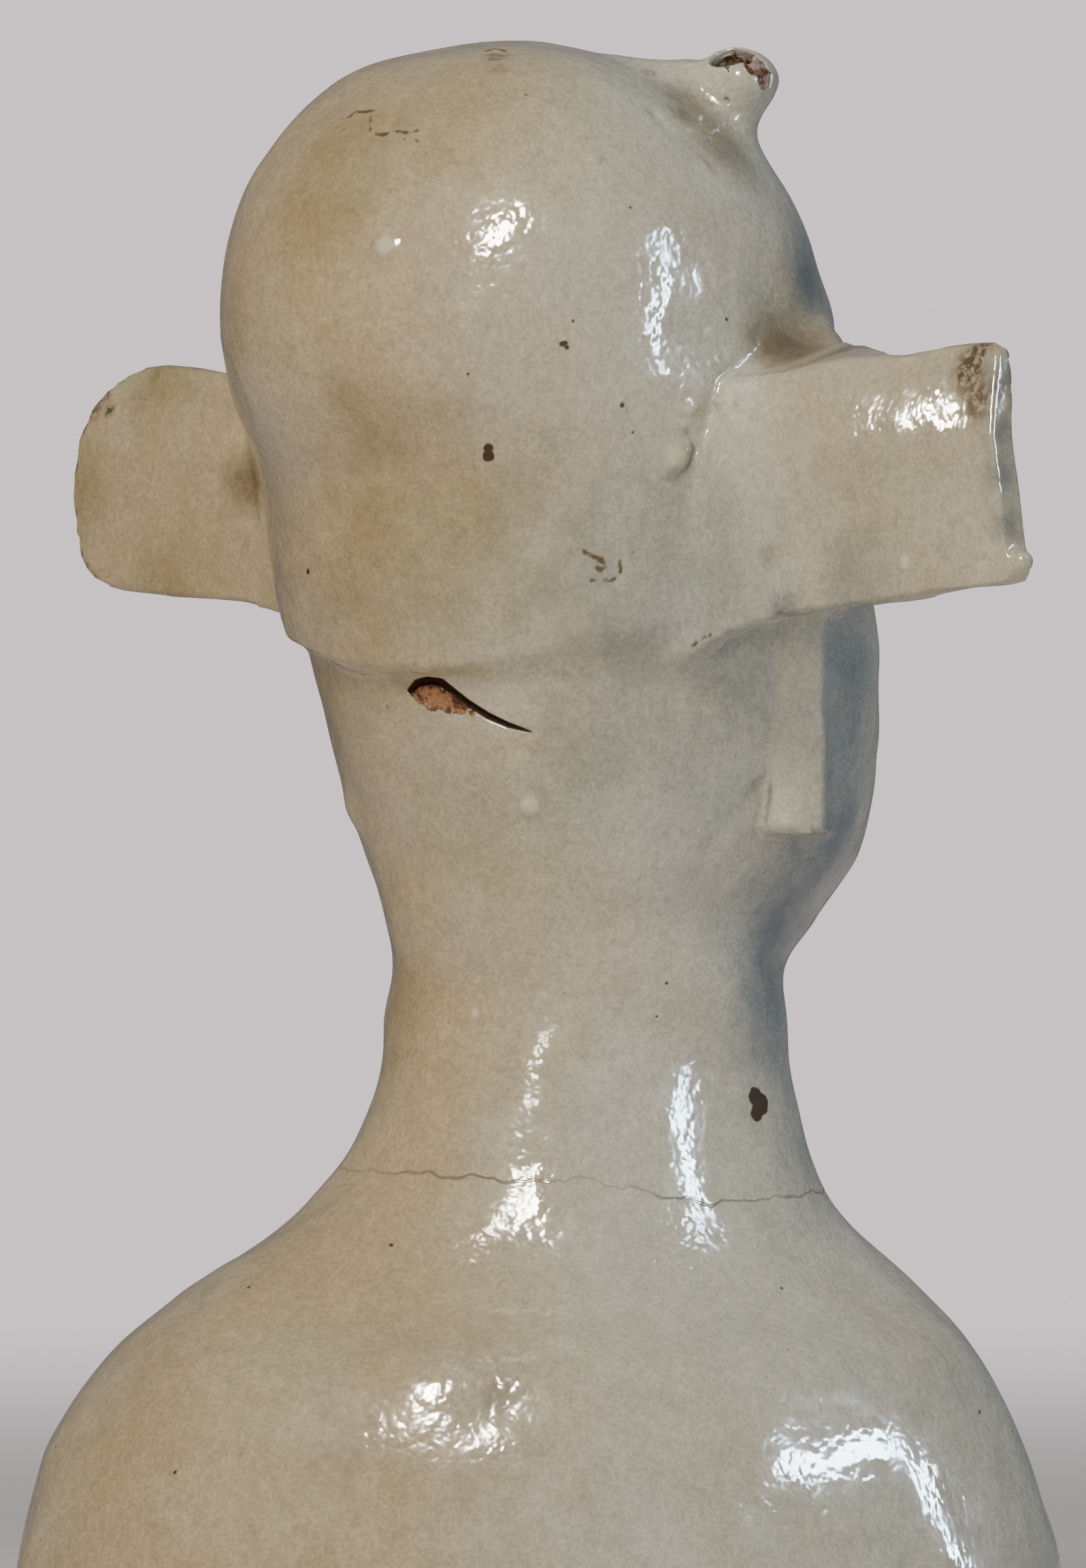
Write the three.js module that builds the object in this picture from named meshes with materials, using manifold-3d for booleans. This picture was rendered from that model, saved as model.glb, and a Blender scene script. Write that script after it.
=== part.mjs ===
// A glazed porcelain bust: the head and sloping shoulders of a small figure in a close-fitting cap.
// The cap has a flat lug standing out over each ear, and a knob with a broken hollow end at the right front
// of its crown. Millimetres, +Z up. The origin is the middle of the flat cut under the shoulders, and the face
// looks along -Y.
import * as THREE from "three";
import Module from "manifold-3d";
import { mergeVertices } from "three/addons/utils/BufferGeometryUtils.js";

// Levels of the body, from the flat cut to the widest part of the skull.
// side is the half width, front and back the depths from the level's middle,
// ahead is how far that middle lies in front of the line through the lugs,
// and square is the power of the front's outline: 2 is an ellipse, more is squarer.
const LEVELS = [
  { at: "flat cut", z: 0, side: 30.0, front: 21.6, back: 21.6, ahead: 1.2, square: 2 },
  { at: "upper arm", z: 5.5, side: 29.8, front: 21.3, back: 21.3, ahead: 1.2, square: 2 },
  { at: "shoulder point", z: 11.5, side: 28.0, front: 20.1, back: 20.1, ahead: 1.1, square: 2 },
  { at: "shoulder edge", z: 14.6, side: 26.5, front: 19.0, back: 19.0, ahead: 1.2, square: 2 },
  { at: "shoulder top", z: 17.5, side: 24.4, front: 17.6, back: 17.6, ahead: 1.5, square: 2 },
  { at: "shoulder slope", z: 20.3, side: 21.6, front: 13.3, back: 13.3, ahead: 2.0, square: 2 },
  { at: "collar", z: 25.9, side: 14.7, front: 10.6, back: 10.6, ahead: 3.4, square: 2 },
  { at: "neck root", z: 31.6, side: 11.9, front: 9.7, back: 9.7, ahead: 4.2, square: 2 },
  { at: "neck", z: 36.5, side: 11.1, front: 9.9, back: 9.9, ahead: 4.35, square: 2 },
  { at: "under the chin", z: 41.2, side: 10.95, front: 13.5, back: 10.9, ahead: 4.35, square: 2.2 },
  { at: "jaw", z: 45.1, side: 12.9, front: 15.4, back: 11.6, ahead: 4.35, square: 2.5 },
  { at: "mouth", z: 50.7, side: 14.4, front: 15.6, back: 13.8, ahead: 4.35, square: 2.6 },
  { at: "nose base", z: 56.0, side: 14.8, front: 15.1, back: 15.4, ahead: 4.2, square: 2.6 },
  { at: "cheekbone", z: 60.5, side: 15.0, front: 15.3, back: 15.8, ahead: 3.2, square: 2.5 },
  { at: "eyes", z: 65.9, side: 15.1, front: 15.7, back: 15.2, ahead: 1.8, square: 2.3 },
  { at: "brow", z: 70.0, side: 15.3, front: 16.0, back: 16.1, ahead: 0.6, square: 2.15 },
  { at: "temple", z: 73.2, side: 15.3, front: 16.2, back: 16.3, ahead: 0, square: 2 },
];
const CROWN_HEIGHT = 90; // top of the cap above the flat cut
const CROWN_POWER = { front: 2, back: 2.3 }; // roundness of the crown: 2 is an ellipse, more is fuller
const LUG_LINE_BACK = 1.2; // the line through the lugs lies this far behind the origin
// The head looks over the figure's right shoulder: the shoulders are turned from it by these degrees.
const SHOULDER_TURN = 69;
const NECK_TWIST = { from: 33, to: 41 }; // heights between which that turn dies away

// The cap: a thin shell over the skull, whose edge runs round the head.
const CAP_THICK = 0.9;
const CAP_EDGE_SOFT = 1.8; // height over which the cap's edge rounds off
// Height of the cap's edge, from the middle of the forehead (0 degrees) to the nape (180).
const CAP_EDGE = [
  { turn: 0, z: 75.6 },
  { turn: 26, z: 74.4 },
  { turn: 40, z: 69.5 },
  { turn: 52, z: 60.5 },
  { turn: 64, z: 58.4 },
  { turn: 90, z: 57.8 },
  { turn: 125, z: 55.8 },
  { turn: 155, z: 54.9 },
  { turn: 180, z: 54.9 },
];
const CAP_EDGE_LIFT_LEFT = 1.6; // the edge sits higher on the figure's left

// Side locks: a flat block in front of each ear. Its corners in plan are given as out from the middle of the
// head and forward of the lugs: the front edge, then the rear edge, then two that are buried in the head.
const LOCK = {
  top: 60,
  bottom: 46,
  corners: [
    { out: 16.1, forward: 7.95 },
    { out: 15.0, forward: 5.2 },
    { out: 9.0, forward: 5.2 },
    { out: 9.0, forward: 15.0 },
  ],
};

// A wedge that backs the right lug in front. Its top starts at the lug's own and rises to the front. Its
// sections stand out from the middle of the head, and each reaches forward of the lugs by its depth.
const WEDGE = {
  rear: 0.8, // where its top starts, forward of the middle of the lug
  rise: 0.35,
  bottom: 59.5,
  sections: [
    { out: 8.0, depth: 13.5 },
    { out: 30.0, depth: 1.3 },
    { out: 32.5, depth: 0.5 },
  ],
};

// The lugs. Reach is from the middle of the head, heights are of the top and bottom edges.
const LUG_THICK = 1.5;
const LUG_ROOT_THICK = 4.6;
const LUG_ROOT_FALL = 1.7; // how fast the flare at the root dies away
const LUG_ROOT_AT = 15.5; // where the flare starts
const LUG_ROOT_FLARE = 1.5; // extra height at the root, above and below
const LUG_INSIDE = 9; // the lug's inner end, buried in the head
const LUGS = [
  {
    at: "left",
    way: 1,
    reach: 40.1,
    topRoot: 71.2,
    topTip: 73.3,
    bottomRoot: 58.6,
    bottomTip: 60.2,
    slant: 0,
    topCorner: 7.6,
    bottomCorner: 5.2,
  },
  {
    at: "right",
    way: -1,
    reach: 41.2,
    topRoot: 71.1,
    topTip: 72.5,
    bottomRoot: 57.8,
    bottomTip: 59.4,
    slant: -2.4,
    topCorner: 0.9,
    bottomCorner: 0.7,
  },
];
const DRIP = { radius: 0.85, reach: 42.0, z: 60.6 }; // a drop of glaze on the lower corner of the right lug
const MIDDLE_X = (DRIP.reach - LUGS[0].reach) / 2; // keeps the origin halfway between the lugs' ends

// The knob: a stub with a flared root and a hollow end, and a low ridge that runs to it from the crown.
const KNOB_TURN = 52; // degrees from the front towards the figure's right
const KNOB_LEAN = 22; // degrees outwards from upright
const KNOB_ROOT = { out: 10.3, z: 83.1 };
// The knob's outline, from inside the skull up to its closed top.
const KNOB_OUTLINE = [
  { r: 0, up: -4.0 },
  { r: 5.6, up: -3.0 },
  { r: 4.9, up: -1.4 },
  { r: 3.5, up: 0.1 },
  { r: 2.3, up: 1.5 },
  { r: 1.9, up: 2.4 },
  { r: 1.86, up: 3.4 },
  { r: 2.15, up: 4.8 },
  { r: 1.95, up: 5.9 },
  { r: 1.3, up: 6.6 },
  { r: 0, up: 6.8 },
];
// The hollow broken into the knob's rear side: a round pit between two points, measured like the lock's.
const HOLLOW = {
  radius: 1.12,
  mouth: { out: 10.2, forward: 5.93, z: 89.3 },
  end: { out: 9.68, forward: 7.02, z: 87.7 },
};
const RIDGE = { out: 8.6, z: 86.95, halfLength: 4.0, halfWidth: 1.9 };

// The face, on plain proportions: the eyes halfway up the head, the nose base halfway from brow to chin.
const EYE = { x: 6.4, z: 65.9, halfWidth: 3.0, halfHeight: 1.35 };
const NOSE = { top: 69.2, tip: 57.9, base: 55.9, rise: 3.7, halfWidth: 1.9, wing: 2.5 };
const MOUTH = { z: 51.4, halfWidth: 5.0, rise: 0.75 };
const CHIN = { z: 45.3, rise: 0.9, spread: 3.4 };

const FACE_HALF_TURN = 56; // degrees to each side of the front with close columns
const FACE_COLUMNS = 32;
const OTHER_COLUMNS = 32;
const RING_STEP = { body: 2.2, face: 1.05 };
const FACE_LEVELS = { low: 41, high: 71.5 };
const CROWN_RINGS = 11;

const radians = THREE.MathUtils.degToRad;
const smooth = THREE.MathUtils.smoothstep;

// Value of one column of a table at a height or turn, on a smooth curve through the table's rows.
function along(rows, key, column, value) {
  let i = 0;
  while (i < rows.length - 2 && value > rows[i + 1][key]) i += 1;
  const a = rows[i];
  const b = rows[i + 1];
  const span = b[key] - a[key];
  const before = rows[Math.max(i - 1, 0)];
  const after = rows[Math.min(i + 2, rows.length - 1)];
  const slopeA = ((b[column] - before[column]) / (b[key] - before[key])) * span;
  const slopeB = ((after[column] - a[column]) / (after[key] - a[key])) * span;
  const t = THREE.MathUtils.clamp((value - a[key]) / span, 0, 1);
  const t2 = t * t;
  const t3 = t2 * t;
  return (
    (2 * t3 - 3 * t2 + 1) * a[column] +
    (t3 - 2 * t2 + t) * slopeA +
    (3 * t2 - 2 * t3) * b[column] +
    (t3 - t2) * slopeB
  );
}

// A rounded bump, 1 in its middle, of the given half sizes.
function bump(dx, dz, halfX, halfZ) {
  return Math.exp(-((dx / halfX) ** 2) - (dz / halfZ) ** 2);
}

// How far the face stands out towards the front at a place x across and z up.
function faceRelief(x, z) {
  const across = Math.abs(x);
  const sockets = -1.5 * bump(across - EYE.x + 0.4, z - EYE.z - 0.2, 3.4, 2.4);
  const lids = 1.0 * bump(across - EYE.x, z - EYE.z, EYE.halfWidth, EYE.halfHeight);
  const brow = 0.45 * bump(across - 5.8, z - 70.2, 4.6, 1.3);
  const down = THREE.MathUtils.clamp((NOSE.top - z) / (NOSE.top - NOSE.tip), 0, 1);
  const under = smooth(z, NOSE.base - 0.7, NOSE.base + 1.2);
  const ridge = (0.7 + (NOSE.rise - 0.7) * down ** 1.3) * smooth(z, NOSE.base - 0.7, NOSE.tip) ** 0.5;
  const nostrils = NOSE.halfWidth + 0.5 * down;
  const nose = ridge * smooth(NOSE.top + 1.6 - z, 0, 2.5) * Math.exp(-((x / nostrils) ** 2));
  const wings = 1.5 * under * bump(across - NOSE.wing, z - NOSE.base - 1.3, 1.25, 1.4);
  const lipWidth = Math.exp(-((x / MOUTH.halfWidth) ** 4));
  const lips =
    MOUTH.rise * lipWidth * (bump(0, z - MOUTH.z - 1.1, 1, 0.95) + 1.1 * bump(0, z - MOUTH.z + 1.2, 1, 1.05));
  const mouthLine = -0.55 * lipWidth * bump(0, z - MOUTH.z, 1, 0.5);
  const chin = CHIN.rise * bump(x, z - CHIN.z, CHIN.spread, 2.4) - 0.5 * bump(x, z - 48.2, 4.5, 1.0);
  const cheeks = 0.5 * bump(across - 8.6, z - 58.5, 4.2, 4.6);
  return sockets + lids + brow + nose + wings + lips + mouthLine + chin + cheeks;
}

// How much of the cap lies over the skull at a turn from the front and a height: 0 none, 1 all of it.
function capCover(turn, toLeft, z) {
  const edge = along(CAP_EDGE, "turn", "z", turn) + CAP_EDGE_LIFT_LEFT * toLeft * smooth(turn, 90, 140);
  return smooth(z, edge - CAP_EDGE_SOFT / 2, edge + CAP_EDGE_SOFT / 2);
}

// A point of the head and shoulders, at a height and at an angle from the face's front, which is positive
// to the figure's left.
function bodyPoint(angle, z) {
  const temple = LEVELS[LEVELS.length - 1];
  const level = Math.min(z, temple.z);
  const rise = (z - level) / (CROWN_HEIGHT - temple.z);
  const sin = Math.sin(angle);
  const cos = Math.cos(angle);
  const crown = THREE.MathUtils.lerp(CROWN_POWER.front, CROWN_POWER.back, smooth(-cos, -0.3, 0.6));
  const shrink = Math.max(0, 1 - rise ** crown) ** (1 / crown);
  const turn = THREE.MathUtils.radToDeg(Math.acos(THREE.MathUtils.clamp(cos, -1, 1)));
  const ofHead = smooth(level, 50, 54);
  const over = CAP_THICK * capCover(turn, smooth(sin, 0, 0.5), z) * ofHead;
  const side = along(LEVELS, "z", "side", level) + over;
  const depth = along(LEVELS, "z", cos > 0 ? "front" : "back", level) + over;
  const power = cos > 0 ? 2 / along(LEVELS, "z", "square", level) : 1;
  const twist = radians(SHOULDER_TURN) * (1 - smooth(z, NECK_TWIST.from, NECK_TWIST.to));
  const across = side * signedPower(Math.sin(angle - twist), power) * shrink;
  const ahead = depth * signedPower(Math.cos(angle - twist), power) * shrink;
  const x = across * Math.cos(twist) + ahead * Math.sin(twist);
  const forward = ahead * Math.cos(twist) - across * Math.sin(twist);
  const middle = LUG_LINE_BACK - along(LEVELS, "z", "ahead", level);
  const ofFace = smooth(cos, 0.3, 0.62) * smooth(level, 40.5, 43);
  const relief = z < temple.z ? faceRelief(x, z) * ofFace * (1 - capCover(turn, 0, z)) : 0;
  return new THREE.Vector3(MIDDLE_X + x, middle - forward - relief, z);
}

function signedPower(value, power) {
  return Math.sign(value) * Math.abs(value) ** power;
}

// Angles of the columns, closer together over the face.
function columnAngles() {
  const half = radians(FACE_HALF_TURN);
  const angles = [];
  for (let i = 0; i < FACE_COLUMNS; i += 1) angles.push(-half + (2 * half * i) / FACE_COLUMNS);
  const rest = 2 * Math.PI - 2 * half;
  for (let i = 0; i < OTHER_COLUMNS; i += 1) angles.push(half + (rest * i) / OTHER_COLUMNS);
  return angles;
}

// Heights of the rings, closer together over the face and towards the crown.
function ringHeights() {
  const temple = LEVELS[LEVELS.length - 1].z;
  const heights = [];
  const spread = (from, to, step) => {
    const count = Math.round((to - from) / step);
    for (let i = 0; i < count; i += 1) heights.push(from + ((to - from) * i) / count);
  };
  spread(0, FACE_LEVELS.low, RING_STEP.body);
  spread(FACE_LEVELS.low, FACE_LEVELS.high, RING_STEP.face);
  for (let i = 0; i < CROWN_RINGS; i += 1) {
    const lift = i / CROWN_RINGS;
    const first = (FACE_LEVELS.high - temple) / (CROWN_HEIGHT - temple);
    const start = Math.asin(first);
    heights.push(temple + (CROWN_HEIGHT - temple) * Math.sin(start + (Math.PI / 2 - start) * lift));
  }
  return heights;
}

// A closed skin over rings of equal length, with a middle point closing each end.
// Each ring runs anticlockwise as seen from beyond the last one.
function closedLoft(rings, firstMiddle, lastMiddle) {
  const width = rings[0].length;
  const points = [...rings.flat(), firstMiddle, lastMiddle];
  const faces = [];
  for (let k = 0; k < rings.length - 1; k += 1) {
    for (let i = 0; i < width; i += 1) {
      const a = k * width + i;
      const b = k * width + ((i + 1) % width);
      const up = points[a].distanceTo(points[b + width]);
      const down = points[b].distanceTo(points[a + width]);
      if (up <= down) faces.push(a, b, b + width, a, b + width, a + width);
      else faces.push(a, b, a + width, b, b + width, a + width);
    }
  }
  const first = points.length - 2;
  const last = points.length - 1;
  const lastRing = (rings.length - 1) * width;
  for (let i = 0; i < width; i += 1) {
    const next = (i + 1) % width;
    faces.push(first, next, i);
    faces.push(last, lastRing + i, lastRing + next);
  }
  return new THREE.BufferGeometry().setFromPoints(points).setIndex(faces);
}

function headAndShoulders() {
  const angles = columnAngles();
  const rings = ringHeights().map((z) => angles.map((angle) => bodyPoint(angle, z)));
  const base = new THREE.Vector3(0, 0, 0);
  const crown = new THREE.Vector3(MIDDLE_X, LUG_LINE_BACK, CROWN_HEIGHT);
  return closedLoft(rings, base, crown);
}

// How far a rounded end corner cuts into an edge, at a distance from the end.
function cornerCut(radius, toEnd) {
  if (toEnd >= radius) return 0;
  return radius - Math.sqrt(Math.max(0, radius ** 2 - (radius - toEnd) ** 2));
}

// A flat lug as sections along its length, flared at the root and rounded at the outer corners.
function lug(spec) {
  const SECTIONS = 22;
  const EDGE_POINTS = 5; // points round each half-round edge
  const rings = [];
  const length = spec.reach - LUG_INSIDE;
  for (let k = 0; k <= SECTIONS; k += 1) {
    const part = 1 - (1 - k / SECTIONS) ** 1.6;
    const out = LUG_INSIDE + length * Math.min(part, 1);
    const toEnd = spec.reach - out;
    const t = (out - LUG_ROOT_AT) / (spec.reach - LUG_ROOT_AT);
    const flare = Math.exp(-Math.max(0, out - LUG_ROOT_AT) / LUG_ROOT_FALL);
    const endRound = Math.min(1, Math.sqrt(Math.max(0.04, 1 - (1 - Math.min(1, toEnd / 0.5)) ** 2)));
    const half = ((LUG_THICK + (LUG_ROOT_THICK - LUG_THICK) * flare) / 2) * endRound;
    const edgeTop = THREE.MathUtils.lerp(spec.topRoot, spec.topTip, t);
    const edgeBottom = THREE.MathUtils.lerp(spec.bottomRoot, spec.bottomTip, t);
    const top = edgeTop + LUG_ROOT_FLARE * flare - cornerCut(spec.topCorner, toEnd) - half;
    const bottom = edgeBottom - LUG_ROOT_FLARE * flare + cornerCut(spec.bottomCorner, toEnd) + half;
    const ring = [];
    for (const [middle, start] of [
      [top, 0],
      [bottom, Math.PI],
    ]) {
      for (let i = 0; i <= EDGE_POINTS; i += 1) {
        const a = start + (Math.PI * i) / EDGE_POINTS;
        const z = middle + half * Math.sin(a);
        const up = (z - edgeBottom) / (edgeTop - edgeBottom);
        const x = out + spec.slant * up * smooth(out, LUG_ROOT_AT, spec.reach);
        ring.push(new THREE.Vector3(MIDDLE_X + spec.way * x, LUG_LINE_BACK - half * Math.cos(a), z));
      }
    }
    if (spec.way > 0) ring.reverse();
    rings.push(ring);
  }
  return closedLoft(rings, middleOf(rings[0]), middleOf(rings[rings.length - 1]));
}

function middleOf(ring) {
  return ring.reduce((sum, p) => sum.add(p), new THREE.Vector3()).divideScalar(ring.length);
}

// A point out to one side of the head's middle (way 1 is the figure's left) and forward of the lugs.
function sidePoint(way, out, forward, z) {
  return new THREE.Vector3(MIDDLE_X + way * out, LUG_LINE_BACK - forward, z);
}

function lock(way) {
  const corners = way > 0 ? LOCK.corners : [...LOCK.corners].reverse();
  const rings = [LOCK.bottom, LOCK.top].map((z) => corners.map((c) => sidePoint(way, c.out, c.forward, z)));
  return closedLoft(rings, middleOf(rings[0]), middleOf(rings[1]));
}

function wedge() {
  const [, right] = LUGS;
  const rings = WEDGE.sections.map(({ out, depth }) => {
    const lugTop = THREE.MathUtils.mapLinear(out, LUG_ROOT_AT, right.reach, right.topRoot, right.topTip);
    const start = lugTop - WEDGE.rise * WEDGE.rear;
    return [
      sidePoint(-1, out, 0, WEDGE.bottom),
      sidePoint(-1, out, depth, WEDGE.bottom),
      sidePoint(-1, out, depth, start + WEDGE.rise * depth),
      sidePoint(-1, out, 0, start),
    ];
  });
  return closedLoft(rings, middleOf(rings[0]), middleOf(rings[rings.length - 1]));
}

// The drop of glaze that hangs on the right lug's lower outer corner.
function drip() {
  const drop = new THREE.SphereGeometry(DRIP.radius, 12, 8);
  return drop.translate(MIDDLE_X - DRIP.reach + DRIP.radius, LUG_LINE_BACK, DRIP.z);
}

// Puts a shape made at the knob's root, with +X outwards and +Z up, in its place on the crown.
function atKnob(geometry, out, z) {
  geometry.translate(out, 0, z);
  geometry.rotateZ(-Math.PI / 2 - radians(KNOB_TURN));
  geometry.translate(MIDDLE_X, LUG_LINE_BACK, 0);
  return geometry;
}

function knob() {
  const outline = KNOB_OUTLINE.map((p) => new THREE.Vector2(p.r, p.up));
  const stub = new THREE.LatheGeometry(outline, 20);
  stub.rotateX(Math.PI / 2);
  stub.rotateY(radians(KNOB_LEAN));
  return atKnob(stub, KNOB_ROOT.out, KNOB_ROOT.z);
}

function hollow() {
  const [mouth, end] = [HOLLOW.mouth, HOLLOW.end].map((p) => sidePoint(-1, p.out, p.forward, p.z));
  const way = mouth.clone().sub(end);
  const pit = new THREE.CapsuleGeometry(HOLLOW.radius, way.length(), 5, 14);
  const upright = new THREE.Vector3(0, 1, 0);
  pit.applyQuaternion(new THREE.Quaternion().setFromUnitVectors(upright, way.normalize()));
  const middle = mouth.clone().add(end).divideScalar(2);
  return pit.translate(middle.x, middle.y, middle.z);
}

function ridge() {
  const roll = new THREE.SphereGeometry(1, 16, 10);
  roll.scale(RIDGE.halfLength, RIDGE.halfWidth, RIDGE.halfWidth);
  return atKnob(roll, RIDGE.out, RIDGE.z);
}

const wasm = await Module();
wasm.setup();

// A closed geometry as a solid that can be joined to others.
function solid(geometry) {
  const bare = geometry.clone();
  bare.deleteAttribute("normal");
  bare.deleteAttribute("uv");
  const merged = mergeVertices(bare, 1e-4);
  return new wasm.Manifold(
    new wasm.Mesh({
      numProp: 3,
      vertProperties: new Float32Array(merged.attributes.position.array),
      triVerts: new Uint32Array(merged.index.array),
    }),
  );
}

// A solid as a geometry again.
function geometryOf(joined) {
  const mesh = joined.getMesh();
  const geometry = new THREE.BufferGeometry();
  geometry.setAttribute("position", new THREE.BufferAttribute(new Float32Array(mesh.vertProperties), 3));
  geometry.setIndex(new THREE.BufferAttribute(new Uint32Array(mesh.triVerts), 1));
  geometry.computeVertexNormals();
  return geometry;
}

const pieces = [headAndShoulders(), ...LUGS.map(lug), lock(1), lock(-1), wedge(), drip(), ridge(), knob()];
const whole = pieces.map(solid).reduce((sum, piece) => sum.add(piece)).subtract(solid(hollow()));

const glaze = new THREE.MeshStandardMaterial({ color: 0xb2a793, roughness: 0.2, metalness: 0 });
const bust = new THREE.Mesh(geometryOf(whole), glaze);
bust.name = "porcelain_bust";

const figure = new THREE.Group();
figure.add(bust);
export default figure;
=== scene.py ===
"""A glazed porcelain bust: a head in a close cap with a flat lug at each ear, on sloping shoulders.

The bust is one surface, found from signed distances in millimetres, then meshed and refined where it has detail.
Marks that were read from the photograph are placed by its pixels, and lie on the surface seen there.
"""
import math

import bpy
import numpy as np
from mathutils import Matrix, Vector

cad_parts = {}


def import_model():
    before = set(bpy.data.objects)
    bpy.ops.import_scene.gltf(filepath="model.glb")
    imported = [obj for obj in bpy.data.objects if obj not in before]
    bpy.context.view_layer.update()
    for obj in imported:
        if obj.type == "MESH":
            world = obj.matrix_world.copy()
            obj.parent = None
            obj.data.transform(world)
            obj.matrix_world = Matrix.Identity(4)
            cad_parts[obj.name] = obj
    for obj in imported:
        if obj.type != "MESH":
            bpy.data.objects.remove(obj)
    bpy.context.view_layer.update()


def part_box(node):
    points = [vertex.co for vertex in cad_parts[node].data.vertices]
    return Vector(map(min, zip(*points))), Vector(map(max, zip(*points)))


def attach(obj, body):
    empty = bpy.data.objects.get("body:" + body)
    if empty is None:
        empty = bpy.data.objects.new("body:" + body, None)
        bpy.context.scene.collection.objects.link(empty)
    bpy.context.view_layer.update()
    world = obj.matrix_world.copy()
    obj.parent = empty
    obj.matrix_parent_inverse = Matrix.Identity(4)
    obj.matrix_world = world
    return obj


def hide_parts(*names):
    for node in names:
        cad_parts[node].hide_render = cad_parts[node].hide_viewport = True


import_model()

MM = 0.001
NODE = "porcelain_bust"
low, high = (np.array(corner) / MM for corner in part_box(NODE))

# The body's levels, in mm: height, half width, depths to the front and back of the level's middle,
# how far that middle lies in front of the line through the lugs, and the power of the front's outline.
LEVELS = (
    ("flat cut", 0.0, 30.0, 21.6, 21.6, 1.2, 2.0),
    ("upper arm", 5.5, 29.8, 21.3, 21.3, 1.2, 2.0),
    ("shoulder point", 11.5, 28.0, 20.1, 20.1, 1.1, 2.0),
    ("shoulder edge", 14.6, 26.5, 19.0, 19.0, 1.2, 2.0),
    ("shoulder top", 17.5, 24.4, 17.6, 17.6, 1.5, 2.0),
    ("shoulder slope", 20.3, 21.6, 13.3, 13.3, 2.0, 2.0),
    ("collar", 25.9, 14.7, 10.6, 10.6, 3.4, 2.0),
    ("neck root", 31.6, 11.9, 9.7, 9.7, 4.2, 2.0),
    ("neck", 36.5, 11.1, 9.9, 9.9, 4.35, 2.0),
    ("under the chin", 41.2, 10.95, 13.5, 10.9, 4.35, 2.2),
    ("jaw", 45.1, 12.9, 15.4, 11.6, 4.35, 2.5),
    ("mouth", 50.7, 14.4, 15.6, 13.8, 4.35, 2.6),
    ("nose base", 56.0, 14.8, 15.1, 15.4, 4.2, 2.6),
    ("cheekbone", 60.5, 15.0, 15.3, 15.8, 3.2, 2.5),
    ("eyes", 65.9, 15.1, 15.7, 15.2, 1.8, 2.3),
    ("brow", 70.0, 15.3, 16.0, 16.1, 0.6, 2.15),
    ("temple", 73.2, 15.3, 16.2, 16.3, 0.0, 2.0),
)
CROWN = high[2]
TEMPLE = LEVELS[-1][1]
CROWN_POWER_FRONT = 2.0
CROWN_POWER_BACK = 2.3
LUG_LINE_BACK = 1.2
# The head looks over the figure's right shoulder: the shoulders are turned from it by these degrees.
SHOULDER_TURN = 69.0
NECK_TWIST = (33.0, 41.0)

# The cap's thickness and the height of its edge from the forehead (0 degrees) round to the nape (180).
CAP_THICK = 0.9
CAP_EDGE_SOFT = 0.8
CAP_EDGE_FAINT = 3.2
CAP_EDGE = (
    (0, 75.6),
    (26, 74.4),
    (40, 69.5),
    (52, 60.5),
    (64, 58.4),
    (90, 57.8),
    (125, 55.8),
    (155, 54.9),
    (180, 54.9),
)
CAP_EDGE_LIFT_LEFT = 1.6

# Side locks: flat blocks in front of the ears. Their outer face is turned to the rear, and their front edge
# stands this far out from the middle of the head and in front of the lugs.
LOCK_EDGE = (16.1, 7.95)
LOCK_FACE_TURN = 22.0
LOCK_FRONT_TURN = 45.0
LOCK_INSIDE = 9.0
LOCK_REAR = 5.6
LOCK_REAR_ROUND = 0.8
LOCK_TOP = 60.0
LOCK_BOTTOM = 46.0
LOCK_EDGE_ROUND = 0.22
LOCK_FILLET = 0.35

# The lugs, measured from the middle of the head. Their back face leans forward near the top edge.
LUG_THICK = 1.9
LUG_EDGE_ROUND = 0.35
LUG_FILLET_TOP = 0.6
LUG_FILLET_BOTTOM = 2.0
LUG_LEAN = 0.30
LUG_LEAN_IN_FRONT = 0.35
LUG_LEAN_FROM = 5.2
LUG_ROOT = 15.5
LUG_INSIDE = 6.0
LUG_FLARE_FROM = 26.0
LUG_FLARE_MOST = 2.0
LEFT_LUG = dict(
    way=1, reach=40.1, top=(70.9, 73.3), bottom=(58.2, 60.2), slant=0.0, top_corner=7.6, bottom_corner=5.2,
    flare=0.012,
)
RIGHT_LUG = dict(
    way=-1, reach=41.2, top=(70.8, 72.5), bottom=(57.4, 59.4), slant=-2.4, top_corner=0.9, bottom_corner=0.7,
    flare=0.012,
)
# A wedge that backs the right lug's front side: how far its front face stands before the lug inside the head
# and near the lug's end. Its top starts at the lug's own and rises to the front.
WEDGE_NEAR = (8.0, 13.5)
WEDGE_FAR = (30.0, 1.3)
WEDGE_REAR = 0.8
WEDGE_RISE = 0.35
WEDGE_BOTTOM = 59.5
WEDGE_ROUND = 0.9
WEDGE_FILLET_REAR = 0.6
WEDGE_FILLET_FRONT = 3.0
DRIP_RADIUS = 0.85
DRIP_REACH = 42.0
DRIP_Z = 60.6
MIDDLE_X = (DRIP_REACH - LEFT_LUG["reach"]) / 2

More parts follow.
